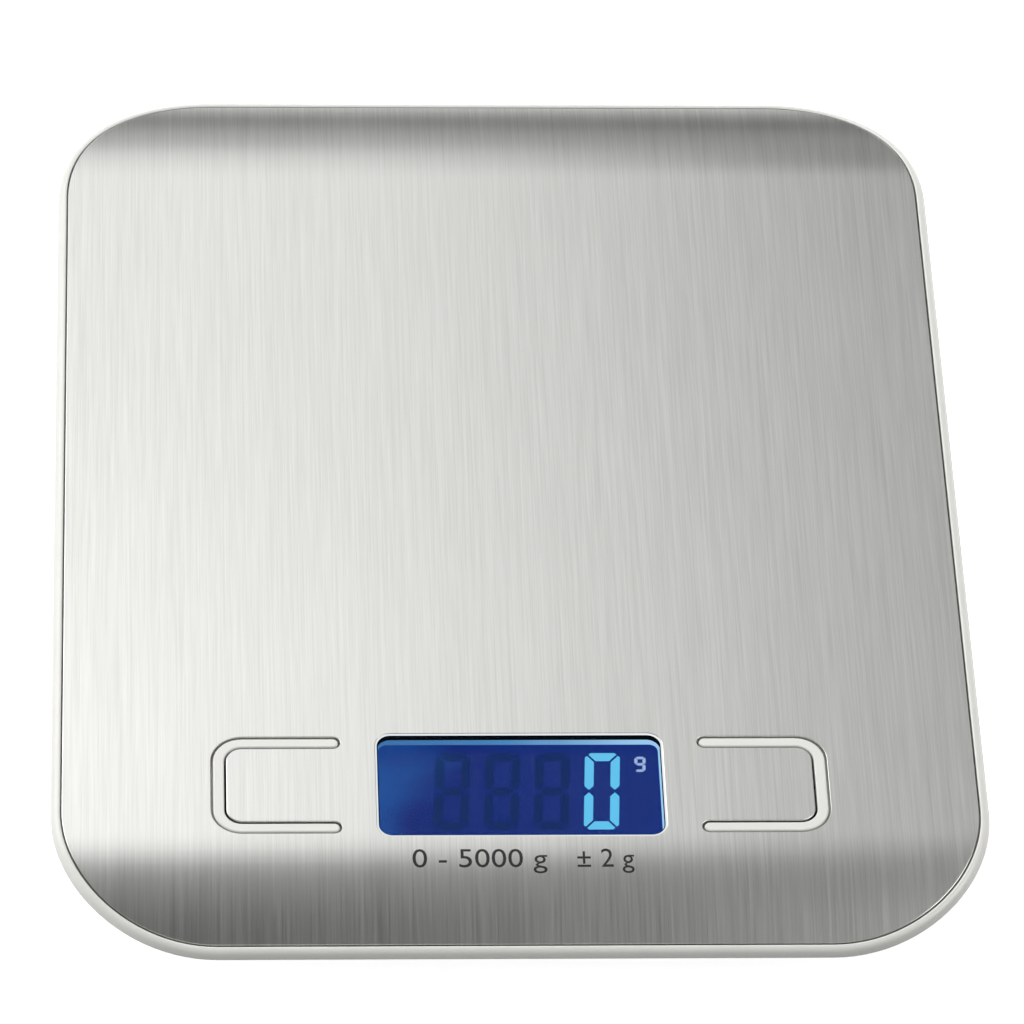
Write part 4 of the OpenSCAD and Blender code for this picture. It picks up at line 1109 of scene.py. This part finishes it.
# %% Lights
def softbox(name, place, target, width, height, radiance, glossy=True, diffuse=True):
    """A rectangular light that faces a point and has a radiance of its own."""
    lamp = bpy.data.lights.new(name, "AREA")
    lamp.shape = "RECTANGLE"
    lamp.size, lamp.size_y = width, height
    lamp.energy = radiance * pi * width * height
    obj = bpy.data.objects.new(name, lamp)
    bpy.context.scene.collection.objects.link(obj)
    obj.location = place
    obj.rotation_euler = (Vector(target) - Vector(place)).to_track_quat("-Z", "Y").to_euler()
    obj.visible_glossy = glossy
    obj.visible_diffuse = diffuse
    obj.visible_camera = False
    return obj


SHEET_MIDDLE = (-0.27, 0, 0.017)
FRONT_EDGE = (0.1, -0.09, 0.017)
for name, place, target, size, radiance in (
    ("strip_back_left", (-0.27, 0.39, 0.43), SHEET_MIDDLE, (0.66, 0.38), 0.694),
    ("strip_lower_edge", (-0.30, 0.50, 0.26), SHEET_MIDDLE, (0.66, 0.20), 0.205),
    ("strip_upper_edge", (-0.30, 0.30, 0.55), SHEET_MIDDLE, (0.66, 0.20), 0.268),
    ("far_left", (-0.7, 0.5, 0.6), (-0.1, 0, 0.017), (0.5, 0.5), 2.9),
    ("ceiling_right", (0.27, -0.06, 0.35), FRONT_EDGE, (0.34, 0.16), 0.331),
    ("ceiling_far_right", (0.45, -0.10, 0.55), FRONT_EDGE, (0.4, 0.3), 2.64),
):
    softbox(name, place, target, *size, radiance, diffuse=False)
for name, place, size, radiance in (
    ("overhead", (-0.3, 1.1, 1.4), (2.0, 2.0), 1.7),
    ("side_left", (-1.4, 0.2, 0.5), (1.2, 0.8), 3.2),
    ("side_right", (1.4, 0.3, 0.5), (1.0, 0.8), 2.2),
):
    softbox(name, place, (0, 0, 0), *size, radiance, glossy=False)

# %% [markdown]
# The sky has three parts. Mirrors see bands of grey by height, fitted to what a white room with dark gaps
# shows. Dull surfaces get a plain fill from above, and the camera sees white.

# %% Sky for reflections and fill
world = bpy.data.worlds.new("studio")
bpy.context.scene.world = world
world.use_nodes = True
sky = world.node_tree
sky.nodes.clear()
direction = add(sky, "ShaderNodeTexCoord").outputs["Generated"]
height = add(sky, "ShaderNodeSeparateXYZ", {0: direction}).outputs[2]
angle = add(sky, "ShaderNodeMath", {0: height}, operation="ARCSINE").outputs[0]
ramp = add(sky, "ShaderNodeValToRGB", {"Fac": between(sky, angle, 0, 1, radians(-90), radians(90))})
BANDS = {                               # degrees above the horizon, and how bright a mirror sees them
    -90: 0.62, -20: 0.66, -4: 0.73, 6: 0.79, 10: 0.57, 13: 0.23, 16: 0, 20: 0, 25: 0.35, 31: 0.22,
    38: 0, 45: 0.55, 52: 0.24, 60: 0.14, 70: 0.155, 80: 0, 90: 0,
}
stops = ramp.color_ramp.elements
stops.remove(stops[1])
for degrees_up, level in BANDS.items():
    at = (degrees_up + 90) / 180
    stop = stops[0] if at == 0 else stops.new(at)
    stop.color = (level, level, level, 1)
path = add(sky, "ShaderNodeLightPath").outputs
mirrored = add(sky, "ShaderNodeBackground", {"Color": ramp.outputs[0], "Strength": 1.0})
up_or_down = between(sky, height, 0.12, 0.46, -0.4, 0.5)
fill = add(sky, "ShaderNodeBackground", {"Color": srgb("#ffffff"), "Strength": up_or_down})
white = add(sky, "ShaderNodeBackground", {"Color": srgb("#ffffff"), "Strength": 1.0})
fill_or_bands = {0: path["Is Glossy Ray"], 1: fill.outputs[0], 2: mirrored.outputs[0]}
lit_by = add(sky, "ShaderNodeMixShader", fill_or_bands)
seen = add(sky, "ShaderNodeMixShader", {0: path["Is Camera Ray"], 1: lit_by.outputs[0], 2: white.outputs[0]})
add(sky, "ShaderNodeOutputWorld", {"Surface": seen.outputs[0]})
print("sky bands:", len(stops))

# %% [markdown]
# ## Camera
# A long lens from 48 degrees above the table, a touch to the left, with a roll of three degrees.

# %% Camera
ELEVATION, AZIMUTH, TILT = radians(48), radians(-4.4792), radians(3.2992)
DISTANCE = 1.23368
target = Vector((0.752 * MM, -5.227 * MM, TOP))
back = Vector((sin(AZIMUTH) * cos(ELEVATION), -cos(AZIMUTH) * cos(ELEVATION), sin(ELEVATION)))
right = (-back).cross(Vector((0, 0, 1))).normalized()
up = right.cross(-back)
right, up = cos(TILT) * right + sin(TILT) * up, cos(TILT) * up - sin(TILT) * right
camera = bpy.data.objects.new("camera", bpy.data.cameras.new("camera"))
bpy.context.scene.collection.objects.link(camera)
turn = Matrix((right, up, back)).transposed().to_4x4()
camera.matrix_world = Matrix.Translation(target + back * DISTANCE) @ turn
camera.data.sensor_width = 36
camera.data.lens = 241.2
camera.data.clip_start = 0.1
bpy.context.scene.camera = camera
bpy.context.scene.view_settings.view_transform = "Standard"
print("camera at", [round(v, 3) for v in camera.location])

# %% [markdown]
# ## Size and end
# The box round everything that is shown is measured. The visual model has to stay inside
# the CAD model's box.

# %% Sizes and finish
low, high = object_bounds()
